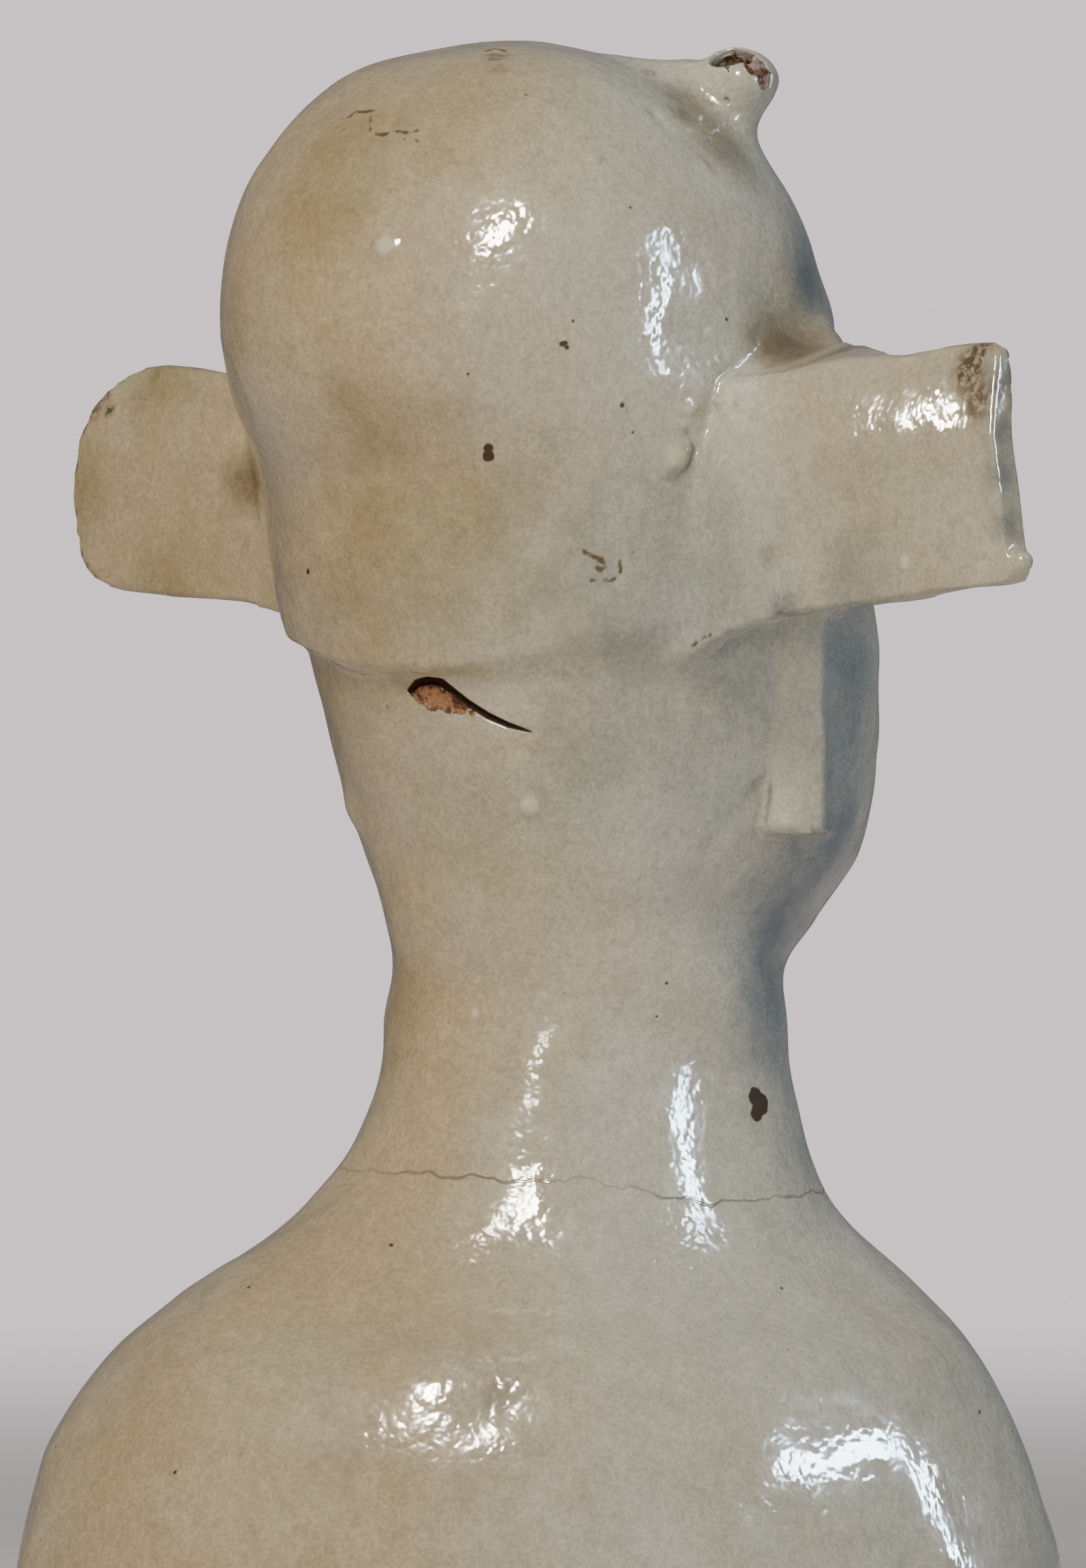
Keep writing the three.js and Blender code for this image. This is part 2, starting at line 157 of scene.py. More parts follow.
# The knob on the crown: a turned stub with a flared root, a web that leads up to it and a hollow end.
KNOB_TURN = 52.0
KNOB_LEAN = 22.0
KNOB_ROOT = (10.3, 83.1)
KNOB_TOP = 6.8
KNOB_TOP_ROUND = 1.6
KNOB_PROFILE = (
    (-4.0, 6.4),
    (-3.0, 5.6),
    (-1.4, 4.9),
    (0.1, 3.5),
    (1.5, 2.3),
    (2.4, 1.9),
    (3.4, 1.86),
    (4.8, 2.15),
    (6.9, 2.1),
)
KNOB_FILLET = 1.0
WEB_FROM = (5.6, 86.9)
WEB_TO = (9.0, 87.05)
WEB_RADIUS = 1.9
WEB_FILLET = 1.6
HOLLOW_RADIUS = 1.12
HOLLOW_TOP = (11.1, 4.0, 89.3)
HOLLOW_END = (11.6, 2.9, 87.7)

# The face, on plain proportions: the eyes halfway up the head, the nose base halfway from brow to chin.
EYE = dict(x=6.4, z=65.9, half_width=3.0, half_height=1.35)
NOSE = dict(top=69.2, tip=57.9, base=55.9, rise=3.7, half_width=1.9, wing=2.5)
MOUTH = dict(z=51.4, half_width=5.0, rise=0.75)
CHIN = dict(z=45.3, rise=0.9, spread=3.4)

# Low swells of the hand-made surface: wave length and height in mm. The last two are the glaze's own.
SWELLS = ((17.0, 0.10), (10.0, 0.07), (6.0, 0.045), (3.6, 0.022), (2.2, 0.010))
SWELL_WAVES = 7
SWELL_MOST = 0.25
SEED = 11

# Bumps and dents seen in the photograph: its pixel, then radius and height in mm.
BUMPS = (
    ("flat of the crown", 490, 150, 3.4, -0.30),
    ("lump on the crown", 568, 361, 0.75, 0.42),
    ("pimple on the crown", 875, 231, 0.50, 0.20),
    ("drip by the lug", 992, 668, 0.72, 0.50),
    ("drip's tail", 978, 690, 0.60, 0.30),
    ("run above the drip", 1000, 628, 0.30, 0.18),
    ("run above that", 1016, 600, 0.36, 0.24),
    ("bead at the lug's root", 1058, 590, 0.34, 0.27),
    ("bead beside it", 1084, 590, 0.28, 0.22),
    ("ridge behind the lock", 1010, 1020, 0.60, 0.10),
    ("ridge's end", 1016, 1062, 0.50, 0.10),
    ("lump by the limb", 1142, 362, 0.80, 0.15),
    ("pimple on the nape", 779, 1184, 0.52, 0.32),
    ("swelling under the slit", 745, 1160, 2.2, 0.14),
    ("lump at the nape's edge", 520, 1190, 1.1, 0.34),
    ("pimple on the lug", 1328, 826, 0.45, 0.14),
    ("bead on the lug", 1216, 594, 0.42, 0.15),
    ("pit under the lock", 1116, 1156, 0.35, -0.30),
    ("dent by the knob", 1000, 172, 0.9, -0.18),
    ("pit in the knob", 1068, 147, 0.22, -0.25),
    ("lump on the shoulder", 640, 2060, 2.4, 0.16),
    ("dent on the shoulder", 730, 2050, 1.5, -0.12),
    ("lump by the other lug", 330, 640, 0.7, 0.12),
)

# Grooves, as lines through the photograph's pixels, with their half width and depth in mm.
GROOVES = (
    ("groove by the far lug", ((352, 640), (362, 700), (368, 760)), 0.45, 0.50),
    ("fold from the jaw", ((1112, 1165), (1078, 1205), (1041, 1253)), 0.7, 0.14),
    ("crease on the lug", ((1312, 713), (1310, 780), (1308, 850)), 0.35, 0.07),
    ("root of the lug", ((1150, 660), (1166, 720), (1186, 790), (1190, 830)), 0.6, 0.08),
    ("line under the drip", ((1012, 640), (1022, 660), (1012, 686), (995, 702), (972, 706)), 0.22, 0.10),
    ("line under the slit", ((710, 1122), (728, 1105), (762, 1100), (785, 1112), (808, 1140)), 0.25, 0.07),
    ("gap under the lug's root", ((1146, 908), (1185, 904), (1225, 899), (1258, 893)), 0.30, 0.40),
    ("crease by the knob", ((966, 170), (985, 190), (1010, 207), (1036, 228), (1052, 248)), 0.5, 0.20),
)

# The firing slit under the cap's edge: pixels of its dark line and its half width there in mm.
SLIT = (
    (602, 1016, 0.05),
    (612, 1005, 0.10),
    (630, 1000, 0.14),
    (648, 1004, 0.14),
    (665, 1017, 0.12),
    (685, 1033, 0.10),
    (715, 1053, 0.08),
    (745, 1067, 0.04),
    (779, 1077, -0.05),
)
SLIT_DEPTH = 0.32

# Where the clay is bare: pixels and radii in mm.
CLAY = (
    (617, 1021, 0.52),
    (636, 1025, 0.68),
    (656, 1031, 0.58),
    (677, 1041, 0.38),
    (694, 1050, 0.20),
    (1112, 96, 0.62),
    (1124, 116, 0.50),
    (1100, 84, 0.45),
)

# Iron specks, as pixels and radii in mm.
IRON_SPOTS = (
    (1104, 1612, 0.62),
    (1114, 1623, 0.70),
    (1108, 1636, 0.58),
    (718, 660, 0.32),
    (718, 671, 0.38),
    (842, 472, 0.16),
    (829, 505, 0.22),
    (833, 511, 0.16),
    (687, 551, 0.13),
    (1069, 469, 0.15),
    (916, 596, 0.18),
    (922, 603, 0.10),
    (773, 141, 0.12),
    (927, 306, 0.10),
    (1159, 384, 0.10),
    (450, 788, 0.16),
    (454, 840, 0.22),
    (931, 636, 0.12),
    (575, 1830, 0.16),
    (366, 1892, 0.14),
    (500, 2150, 0.12),
    (1147, 1895, 0.13),
    (1109, 105, 0.12),
    (980, 1445, 0.11),
    (968, 1495, 0.12),
    (1440, 2075, 0.16),
    (258, 2165, 0.14),
    (356, 2140, 0.13),
    (1157, 1985, 0.12),
)

# Dirt in scratches, as lines of pixels with a half width in mm.
SCRATCHES = (
    (((499, 173), (513, 170), (521, 163), (535, 163), (552, 162)), 0.10),
    (((545, 168), (543, 182), (545, 194)), 0.07),
    (((552, 197), (563, 197), (570, 194)), 0.11),
    (((578, 192), (585, 191)), 0.12),
    (((592, 193), (604, 193), (614, 189)), 0.14),
    (((594, 196), (594, 202)), 0.08),
    (((608, 203), (617, 209), (631, 209)), 0.09),
    (((859, 811), (872, 818), (883, 823), (889, 829), (892, 834), (884, 837), (873, 835)), 0.12),
    (((910, 826), (912, 840), (908, 849), (898, 853), (882, 852), (870, 854)), 0.10),
    (((1018, 949), (1030, 940), (1042, 934)), 0.10),
    (((710, 74), (728, 70), (742, 74)), 0.12),
    (((497, 582), (540, 575), (585, 590), (602, 600)), -0.03),
    (((505, 600), (530, 615), (565, 612)), -0.03),
    (((520, 664), (560, 655), (600, 668)), -0.03),
)

# Brown stains, as pixels, radii in mm and strength; those in the creases by the knob and along the near lug's top, and
# the one under the cap's edge, are partly painted shade.
STAINS_AND_SHADE = (
    (728, 82, 0.9, 0.75),
    (735, 100, 0.8, 0.45),
    (560, 170, 2.6, 0.16),
    (1440, 518, 1.15, 1.0),
    (1425, 545, 1.60, 1.0),
    (1436, 590, 1.50, 0.9),
    (150, 585, 0.80, 1.0),
    (160, 603, 0.55, 1.0),
    (136, 608, 0.60, 1.0),
    (1130, 815, 0.95, 0.40),
    (730, 2050, 1.3, 0.42),
    # Partly painted shade in the crease by the knob.
    (1000, 168, 1.1, 0.50),
    (955, 106, 0.6, 0.60),
    (880, 838, 1.2, 0.28),
    (500, 575, 1.4, 0.25),
    (540, 665, 1.6, 0.20),
    # These three are partly painted shade in the crease along the near lug's top edge.
    (1150, 522, 1.9, 0.45),
    (1215, 520, 1.6, 0.50),
    (1262, 512, 1.2, 0.40),
    # Partly painted shade under the cap's edge.
    (590, 1000, 0.9, 0.45),
    (230, 548, 0.8, 0.30),
    (490, 2150, 2.2, 0.22),
    (300, 1900, 1.0, 0.25),
)

# Broad patches of painted shade and painted light, with some of the glaze's own tone: pixels, radii in mm, which tint,
# and strength.
PAINTED_LIGHT_AND_SHADE = (
    ("lower cap", 600, 790, 11.5, "olive", 1.0),
    ("foot of the cap", 640, 905, 5.0, "olive", 0.35),
    ("right of the lower cap", 990, 870, 11.0, "mist", 1.0),
    ("under the cap's right", 980, 1110, 9.0, "mist", 0.75),
    ("left of the dome", 450, 450, 8.0, "straw", 0.5),
    ("dome's limb", 345, 440, 4.5, "olive", 0.55),
    ("middle of the cap", 700, 820, 6.0, "olive", 0.45),
    ("left of the crown", 500, 240, 7.0, "olive", 1.0),
    ("top of the crown", 770, 110, 7.5, "olive", 0.55),
    ("wedge by the head", 1140, 505, 3.2, "umber", 1.0),
    ("above the wedge", 1185, 430, 3.4, "shade", 0.8),
    ("crease of the wedge", 1175, 518, 2.8, "umber", 1.0),
    ("middle of the wedge", 1200, 492, 3.0, "umber", 1.0),
    ("end of the wedge", 1245, 510, 2.4, "umber", 1.0),
    ("left of the knob", 1005, 150, 2.6, "umber", 0.9),
    ("under the knob", 1060, 210, 3.6, "umber", 0.9),
    ("knob", 1100, 140, 2.2, "umber", 0.2),
    ("right of the crown", 1195, 400, 4.6, "shade", 1.0),
    ("jaw", 1200, 1290, 6.0, "dusk", 1.0),
    ("under the jaw", 1140, 1350, 6.0, "dusk", 0.8),
    ("cheek's top", 1245, 950, 4.2, "shade", 0.65),
    ("cheek", 1245, 1040, 4.2, "shade", 0.65),
    ("cheek below", 1245, 1130, 4.2, "shade", 0.65),
    ("cheek's foot", 1235, 1220, 4.2, "shade", 0.65),
    ("top of the lock", 1180, 990, 2.2, "pale", 1.0),
    ("lock", 1180, 1070, 2.2, "pale", 1.0),
    ("foot of the lock", 1180, 1150, 2.2, "pale", 1.0),
    ("gap under the lug's root", 1160, 906, 1.6, "dusk", 0.9),
    ("gap's end", 1210, 901, 1.6, "dusk", 0.9),
    ("right of the neck", 1140, 1470, 6.0, "shade", 1.0),
    ("root of the neck", 1190, 1700, 5.0, "shade", 0.35),
    ("bottom of the near lug", 1250, 870, 5.5, "mist", 0.9),
    ("near lug", 1260, 700, 6.0, "olive", 0.35),
    ("top of the near lug's end", 1472, 560, 2.0, "dusk", 1.0),
    ("near lug's end", 1475, 630, 2.0, "dusk", 1.0),
    ("lower down there", 1479, 700, 2.0, "dusk", 1.0),
    ("end's foot", 1484, 770, 2.0, "dusk", 1.0),
    ("rim of the far lug", 120, 720, 3.6, "olive", 0.9),
    ("bottom of the far lug", 250, 860, 5.5, "olive", 1.0),
    ("groove by the far lug", 368, 705, 2.8, "umber", 1.0),
    ("top of the far lug", 240, 555, 5.0, "olive", 1.0),
    ("left of the cap", 395, 780, 5.5, "olive", 0.95),
    ("nape's left", 480, 1050, 7.0, "olive", 1.0),
    ("middle of the nape", 740, 1220, 9.0, "olive", 0.6),
    ("left of the neck", 585, 1470, 5.5, "olive", 1.0),
    ("right shoulder", 1480, 2200, 7.0, "pale", 0.6),
    ("left shoulder", 170, 2080, 8.0, "olive", 0.25),
    ("left collar", 420, 1850, 6.0, "olive", 0.25),
)
# Colours that paint shade; "pale" and "straw" paint light.
PAINTED_LIGHT_AND_SHADE_COLOURS = {
    "olive": (0.74, 0.72, 0.60, 1),
    "umber": (0.47, 0.43, 0.40, 1),
    "shade": (0.50, 0.58, 0.71, 1),
    "dusk": (0.42, 0.48, 0.58, 1),
    "mist": (0.66, 0.70, 0.74, 1),
    "straw": (0.92, 0.87, 0.70, 1),
    "pale": (1.14, 1.09, 1.06, 1),
}

# Pale clots in the glaze: pixels and radii in mm.
CLOTS = ((779, 1184, 0.55), (568, 361, 0.55), (990, 672, 0.70), (1328, 826, 0.40), (697, 1488, 0.30))

# The hairline crack at the root of the neck: turn about the neck from the camera's side, and height in mm.
CRACK = (
    (-180.0, 27.2),
    (-110.0, 27.7),
    (-59.8, 27.56),
    (-29.9, 27.26),
    (-9.5, 26.92),
    (0.0, 27.26),
    (21.6, 26.47),
    (42.0, 25.75),
    (88.0, 26.17),
    (130.0, 26.6),
    (180.0, 27.2),
)
CRACK_HALF_WIDTH = 0.07

BACKDROP = (1.06, 0.93, 0.97, 1)

# Colours of the glaze and of what marks it.
# The glaze as lit by the warm lamp and as lit by the cool window light: painted light on the two flanks, partly the
# glaze's own tone.
GLAZE_IN_WARM_LIGHT = (0.435, 0.354, 0.222, 1)
GLAZE_IN_COOL_LIGHT = (0.515, 0.505, 0.42, 1)
# Partly the pooled glaze's own colour, partly painted shade in hollows.
POOLED_GLAZE_AND_SHADE = (0.30, 0.31, 0.27, 1)
# Brown of stains and dirt, also used to paint shade in deep creases.
BROWN_STAIN_AND_SHADE = (0.105, 0.070, 0.038, 1)
CLOT = (0.66, 0.60, 0.47, 1)
SPECK = (0.13, 0.10, 0.07, 1)
IRON = (0.034, 0.009, 0.006, 1)
CRACK_DIRT = (0.19, 0.15, 0.11, 1)
DARK_CLAY = (0.09, 0.038, 0.020, 1)
PALE_CLAY = (0.36, 0.185, 0.095, 1)
KNOB_CLAY = (0.31, 0.235, 0.20, 1)
# Painted shadow inside the slit.
SLIT_SHADOW = (0.028, 0.012, 0.006, 1)
ROOM = (0.10, 0.10, 0.10, 1)
WALL = (0.17, 0.17, 0.18, 1)
WARM_LIGHT = (1.0, 0.91, 0.77)
BLUE_LIGHT = (0.58, 0.78, 1.0)
RIPPLE_HEIGHT = 0.068
HOLLOW_REACHES = (0.8, 3.0)
FLOOR_REACH = 0.55
GRID_STEP = 0.62
REFINEMENTS = 3
COARSER = 3

# The camera: behind the figure and to its right, level, far away, with the photograph's frame.
PHOTO_WIDTH = 1596
PHOTO_HEIGHT = 2305
PIXELS_PER_MM = 26.6
LUG_LINE_PIXEL = 771
CUT_PIXEL = 2450
CAMERA_TURN = 230.0
CAMERA_DISTANCE = 800.0
SENSOR = 36.0

turn_ = math.radians(CAMERA_TURN)
PICTURE_RIGHT = np.array([math.cos(turn_), math.sin(turn_), 0.0])
PICTURE_AWAY = np.array([-math.sin(turn_), math.cos(turn_), 0.0])
HEAD_AXIS = np.array([MIDDLE_X, LUG_LINE_BACK, 0.0])
AIM = (
    HEAD_AXIS
    + PICTURE_RIGHT * (PHOTO_WIDTH / 2 - LUG_LINE_PIXEL) / PIXELS_PER_MM
    + np.array([0.0, 0.0, (CUT_PIXEL - PHOTO_HEIGHT / 2) / PIXELS_PER_MM])
)
EYE_POINT = AIM - PICTURE_AWAY * CAMERA_DISTANCE


def smooth(value, start, end):
    """0 before start, 1 after end, with a smooth step between."""
    t = np.clip((value - start) / (end - start), 0, 1)
    return t * t * (3 - 2 * t)


def mix(a, b, share):
    return a + (b - a) * share


def curve_table(xs, ys, step=0.1):
    """A smooth curve through points, as a fine table for np.interp."""
    xs, ys = np.array(xs, float), np.array(ys, float)
    slope = np.gradient(ys, xs)
    slope[1:-1] = (ys[2:] - ys[:-2]) / (xs[2:] - xs[:-2])
    at = np.arange(xs[0], xs[-1] + step / 2, step)
    i = np.clip(np.searchsorted(xs, at, side="right") - 1, 0, len(xs) - 2)
    span = xs[i + 1] - xs[i]
    t = np.clip((at - xs[i]) / span, 0, 1)
    h00 = 2 * t**3 - 3 * t**2 + 1
    h10 = t**3 - 2 * t**2 + t
    h01 = 3 * t**2 - 2 * t**3
    h11 = t**3 - t**2
    return at, h00 * ys[i] + h10 * span * slope[i] + h01 * ys[i + 1] + h11 * span * slope[i + 1]


HEIGHTS = [row[1] for row in LEVELS]
SIDE, FRONT, BACK, AHEAD, SQUARE = (curve_table(HEIGHTS, [row[k] for row in LEVELS]) for k in range(2, 7))
EDGE = curve_table(*zip(*CAP_EDGE))


def bump(dx, dz, half_x, half_z):
    return np.exp(-((dx / half_x) ** 2) - (dz / half_z) ** 2)


def face_relief(x, z):
    """How far the face stands out towards the front."""
    across = np.abs(x)
    sockets = -1.5 * bump(across - EYE["x"] + 0.4, z - EYE["z"] - 0.2, 3.4, 2.4)
    lids = 1.0 * bump(across - EYE["x"], z - EYE["z"], EYE["half_width"], EYE["half_height"])
    brow = 0.45 * bump(across - 5.8, z - 70.2, 4.6, 1.3)
    down = np.clip((NOSE["top"] - z) / (NOSE["top"] - NOSE["tip"]), 0, 1)
    under = smooth(z, NOSE["base"] - 0.7, NOSE["base"] + 1.2)
    ridge = (0.7 + (NOSE["rise"] - 0.7) * down**1.3) * smooth(z, NOSE["base"] - 0.7, NOSE["tip"]) ** 0.5
    nose = ridge * smooth(NOSE["top"] + 1.6 - z, 0, 2.5) * np.exp(-((x / (NOSE["half_width"] + 0.5 * down)) ** 2))
    wings = 1.5 * under * bump(across - NOSE["wing"], z - NOSE["base"] - 1.3, 1.25, 1.4)
    lip_width = np.exp(-((x / MOUTH["half_width"]) ** 4))
    upper = bump(0, z - MOUTH["z"] - 1.1, 1, 0.95)
    lower = 1.1 * bump(0, z - MOUTH["z"] + 1.2, 1, 1.05)
    lips = MOUTH["rise"] * lip_width * (upper + lower)
    mouth_line = -0.55 * lip_width * bump(0, z - MOUTH["z"], 1, 0.5)
    chin = CHIN["rise"] * bump(x, z - CHIN["z"], CHIN["spread"], 2.4) - 0.5 * bump(x, z - 48.2, 4.5, 1.0)
    cheeks = 0.5 * bump(across - 8.6, z - 58.5, 4.2, 4.6)
    return sockets + lids + brow + nose + wings + lips + mouth_line + chin + cheeks


def cap_cover(turn, to_left, z):
    """How much of the cap lies over the skull: 0 none, 1 all of it. Its edge is faint at the right rear."""
    edge = np.interp(turn, *EDGE) + CAP_EDGE_LIFT_LEFT * smooth(to_left, 0, 0.5) * smooth(turn, 90, 140)
    faint = smooth(-to_left, 0.35, 0.85) * smooth(turn, 90, 104)
    soft = mix(CAP_EDGE_SOFT, CAP_EDGE_FAINT, faint)
    return smooth(z, edge - soft / 2, edge + soft / 2)


def body_value(p):
    """Zero on the skin of the head and shoulders, negative inside, not yet a distance."""
    x = p[..., 0] - MIDDLE_X
    z = p[..., 2]
    level = np.clip(z, 0, TEMPLE)
    forward = LUG_LINE_BACK - p[..., 1] - np.interp(level, *AHEAD)
    turn = np.degrees(np.arctan2(np.abs(x), forward))
    facing = forward / np.maximum(np.hypot(x, forward), 1e-6)
    to_left = x / np.maximum(np.hypot(x, forward), 1e-6)
    cover = cap_cover(turn, to_left, z) * smooth(level, 50, 54)
    over = CAP_THICK * cover
    of_face = smooth(facing, 0.3, 0.62) * smooth(level, 40.5, 43) * (z < TEMPLE + 4) * (1 - cover)
    on_face = of_face > 0
    relief = np.zeros_like(forward)
    relief[on_face] = face_relief(x[on_face], z[on_face]) * of_face[on_face]
    forward = forward - relief
    twist = math.radians(SHOULDER_TURN) * (1 - smooth(z, *NECK_TWIST))
    x, forward = x * np.cos(twist) - forward * np.sin(twist), x * np.sin(twist) + forward * np.cos(twist)
    side = np.interp(level, *SIDE) + over
    front = np.interp(level, *FRONT) + over
    back = np.interp(level, *BACK) + over
    power = np.interp(level, *SQUARE)
    depth = np.where(forward > 0, front, back)
    power = np.where(forward > 0, power, 2.0)
    ring = ((np.abs(x) / side) ** power + (np.abs(forward) / depth) ** power + 1e-12) ** (1 / power)
    rise = np.maximum(z - TEMPLE, 0) / (CROWN - TEMPLE)
    crown = mix(CROWN_POWER_FRONT, CROWN_POWER_BACK, smooth(-facing, -0.3, 0.6))
    return (ring**crown + rise**crown) ** (1 / crown) - 1


def joined(a, b, size):
    """The union of two distances, with a fillet."""
    h = np.clip(0.5 + 0.5 * (b - a) / size, 0, 1)
    return mix(b, a, h) - size * h * (1 - h)


def cut_by(a, b, size):
    """a less b, with a rounded rim."""
    return -joined(-a, b, size)


def both(a, b, radius):
    """The part inside both distances, with its edge rounded to a radius."""
    u = np.maximum(a + radius, 0)
    v = np.maximum(b + radius, 0)
    return np.minimum(np.maximum(a, b) + radius, 0) + np.hypot(u, v) - radius


def lug_distance(p, spec):
    out = spec["way"] * (p[..., 0] - MIDDLE_X)
    z = p[..., 2]
    along = (out - LUG_ROOT) / (spec["reach"] - LUG_ROOT)
    flare = spec["flare"] * np.maximum(LUG_FLARE_FROM - out, 0) ** 2
    top = mix(*spec["top"], along)
    bottom = mix(*spec["bottom"], along) - np.minimum(flare, LUG_FLARE_MOST)
    up = np.clip((z - bottom) / (top - bottom), -0.5, 1.5)
    slope = math.hypot(1, spec["slant"] / (spec["top"][1] - spec["bottom"][1]))
    end = (out - spec["reach"] - spec["slant"] * up) / slope
    upper = both(z - top, end, spec["top_corner"])
    lower = both(bottom - z, end, spec["bottom_corner"])
    outline = np.maximum(np.maximum(upper, lower), LUG_INSIDE - out)
    above = np.maximum(z - top + LUG_LEAN_FROM, 0)
    lean = LUG_LEAN * above**2 / (above + 1)
    back_face = p[..., 1] - LUG_LINE_BACK - LUG_THICK / 2 + lean
    front_face = LUG_LINE_BACK - LUG_THICK / 2 - p[..., 1] - lean * LUG_LEAN_IN_FRONT
    return both(outline, np.maximum(back_face, front_face), LUG_EDGE_ROUND)


def wedge_distance(p):
    out = MIDDLE_X - p[..., 0]
    forward = LUG_LINE_BACK - p[..., 1]
    fall = (WEDGE_FAR[1] - WEDGE_NEAR[1]) / (WEDGE_FAR[0] - WEDGE_NEAR[0])
    front = (forward - WEDGE_NEAR[1] - fall * (out - WEDGE_NEAR[0])) / math.hypot(1, fall)
    lug_top = mix(*RIGHT_LUG["top"], (out - LUG_ROOT) / (RIGHT_LUG["reach"] - LUG_ROOT))
    top = (p[..., 2] - lug_top - WEDGE_RISE * (forward - WEDGE_REAR)) / math.hypot(1, WEDGE_RISE)
    rest = np.maximum(np.maximum(WEDGE_REAR - forward, WEDGE_BOTTOM - p[..., 2]), LUG_INSIDE - out)
    return both(both(front, top, WEDGE_ROUND), rest, 0.3)


def lock_distance(p):
    out = np.abs(p[..., 0] - MIDDLE_X)
    forward = LUG_LINE_BACK - p[..., 1]
    face, front = math.radians(LOCK_FACE_TURN), math.radians(LOCK_FRONT_TURN)
    outer = (out - LOCK_EDGE[0]) * math.cos(face) - (forward - LOCK_EDGE[1]) * math.sin(face)
    fore = (out - LOCK_EDGE[0]) * math.cos(front) + (forward - LOCK_EDGE[1]) * math.sin(front)
    ends = np.maximum(LOCK_BOTTOM - p[..., 2], p[..., 2] - LOCK_TOP)
    rest = np.maximum(LOCK_INSIDE - out, LOCK_REAR - forward)
    return both(both(both(outer, fore, LOCK_EDGE_ROUND), ends, LOCK_EDGE_ROUND), rest, LOCK_REAR_ROUND)


def drip_distance(p):
    centre = np.array([MIDDLE_X - DRIP_REACH + DRIP_RADIUS, LUG_LINE_BACK, DRIP_Z])
    return np.linalg.norm(p - centre, axis=-1) - DRIP_RADIUS


knob_turn = math.radians(KNOB_TURN)
knob_lean = math.radians(KNOB_LEAN)
KNOB_OUTWARD = np.array([-math.sin(knob_turn), -math.cos(knob_turn), 0.0])
KNOB_AXIS = KNOB_OUTWARD * math.sin(knob_lean) + np.array([0.0, 0.0, math.cos(knob_lean)])
KNOB_RADII = curve_table(*zip(*KNOB_PROFILE))


def knob_plane_point(out, z):
    """A point of the upright plane through the knob."""
    return HEAD_AXIS + KNOB_OUTWARD * out + np.array([0.0, 0.0, z])


def knob_distance(p):
    beside = p - knob_plane_point(*KNOB_ROOT)
    up = beside @ KNOB_AXIS
    around = np.linalg.norm(beside - up[..., None] * KNOB_AXIS, axis=-1)
    side = (around - np.interp(up, *KNOB_RADII)) * 0.85
    return both(both(side, up - KNOB_TOP, KNOB_TOP_ROUND), KNOB_PROFILE[0][0] - up, 0.3)


def rod_distance(p, start, end, radius):
    """A rod with round ends."""
    way = end - start
    t = np.clip(((p - start) @ way) / (way @ way), 0, 1)
    return np.linalg.norm(p - start - t[..., None] * way, axis=-1) - radius


def picture_point(right, near, up):
    """A point to the picture's right of the head's axis, nearer to the camera, and up, all in mm."""
    return HEAD_AXIS + PICTURE_RIGHT * right - PICTURE_AWAY * near + np.array([0.0, 0.0, up])


hollow_top = picture_point(*HOLLOW_TOP)
hollow_end = picture_point(*HOLLOW_END)

rng = np.random.default_rng(SEED)
swell_ways = rng.normal(size=(len(SWELLS), SWELL_WAVES, 3))
swell_ways /= np.linalg.norm(swell_ways, axis=-1, keepdims=True)
swell_phases = rng.uniform(0, 2 * math.pi, size=(len(SWELLS), SWELL_WAVES))


def swells(p):
    """The low unevenness of the surface, which stays below zero next to the sides of the box."""
    total = np.zeros(p.shape[:-1])
    for (length, height), ways, phases in zip(SWELLS, swell_ways, swell_phases):
        for way, phase in zip(ways, phases):
            total += height * np.sin(p @ way * (2 * math.pi / length) + phase)
    inside = np.minimum(high - p, p - low)[..., :2].min(axis=-1)
    inside = np.minimum(inside, high[2] - p[..., 2])
    return total / math.sqrt(SWELL_WAVES) - SWELL_MOST * (1 - smooth(inside, 0.2, 2.5))


def smooth_bust(p, body):
    """The signed distance to the bust without its marks, where body is the distance to the body alone."""
    web = rod_distance(p, knob_plane_point(*WEB_FROM), knob_plane_point(*WEB_TO), WEB_RADIUS)
    near = joined(body, lock_distance(p), LOCK_FILLET)
    near = joined(joined(near, web, WEB_FILLET), knob_distance(p), KNOB_FILLET)
    near = cut_by(near, rod_distance(p, hollow_top, hollow_end, HOLLOW_RADIUS), 0.25)
    fillet = mix(WEDGE_FILLET_REAR, WEDGE_FILLET_FRONT, smooth(LUG_LINE_BACK - p[..., 1], 1, 5))
    near = joined(near, wedge_distance(p), fillet)
    fillet = mix(LUG_FILLET_BOTTOM, LUG_FILLET_TOP, smooth(p[..., 2], 60, 66))
    for spec in (LEFT_LUG, RIGHT_LUG):
        near = joined(near, lug_distance(p, spec), fillet)
    return joined(near, drip_distance(p), 0.6)


TETRA = np.array([[1, -1, -1], [-1, -1, 1], [-1, 1, -1], [1, 1, 1]], float)
SAMPLE = 0.02


def near_surface(p, whole):
    """The distance to the surface at points, and its slope, from four samples round each point."""
    corners = p + TETRA[:, None, :] * SAMPLE
    value = body_value(corners)
    slope = np.einsum("kn,kc->nc", value, TETRA) / (4 * SAMPLE)
    value = whole(corners, value / np.maximum(np.linalg.norm(slope, axis=1), 1e-3))
    slope = np.einsum("kn,kc->nc", value, TETRA) / (4 * SAMPLE)
    return value.mean(axis=0), slope


def pixel_ways(pixels):
    """The directions from the camera through pixels of the photograph."""
    right = (pixels[:, 0] - PHOTO_WIDTH / 2) / PIXELS_PER_MM
    up = (PHOTO_HEIGHT / 2 - pixels[:, 1]) / PIXELS_PER_MM
    ways = PICTURE_AWAY * CAMERA_DISTANCE + right[:, None] * PICTURE_RIGHT + up[:, None] * np.array([0, 0, 1.0])
    return ways / np.linalg.norm(ways, axis=1)[:, None]


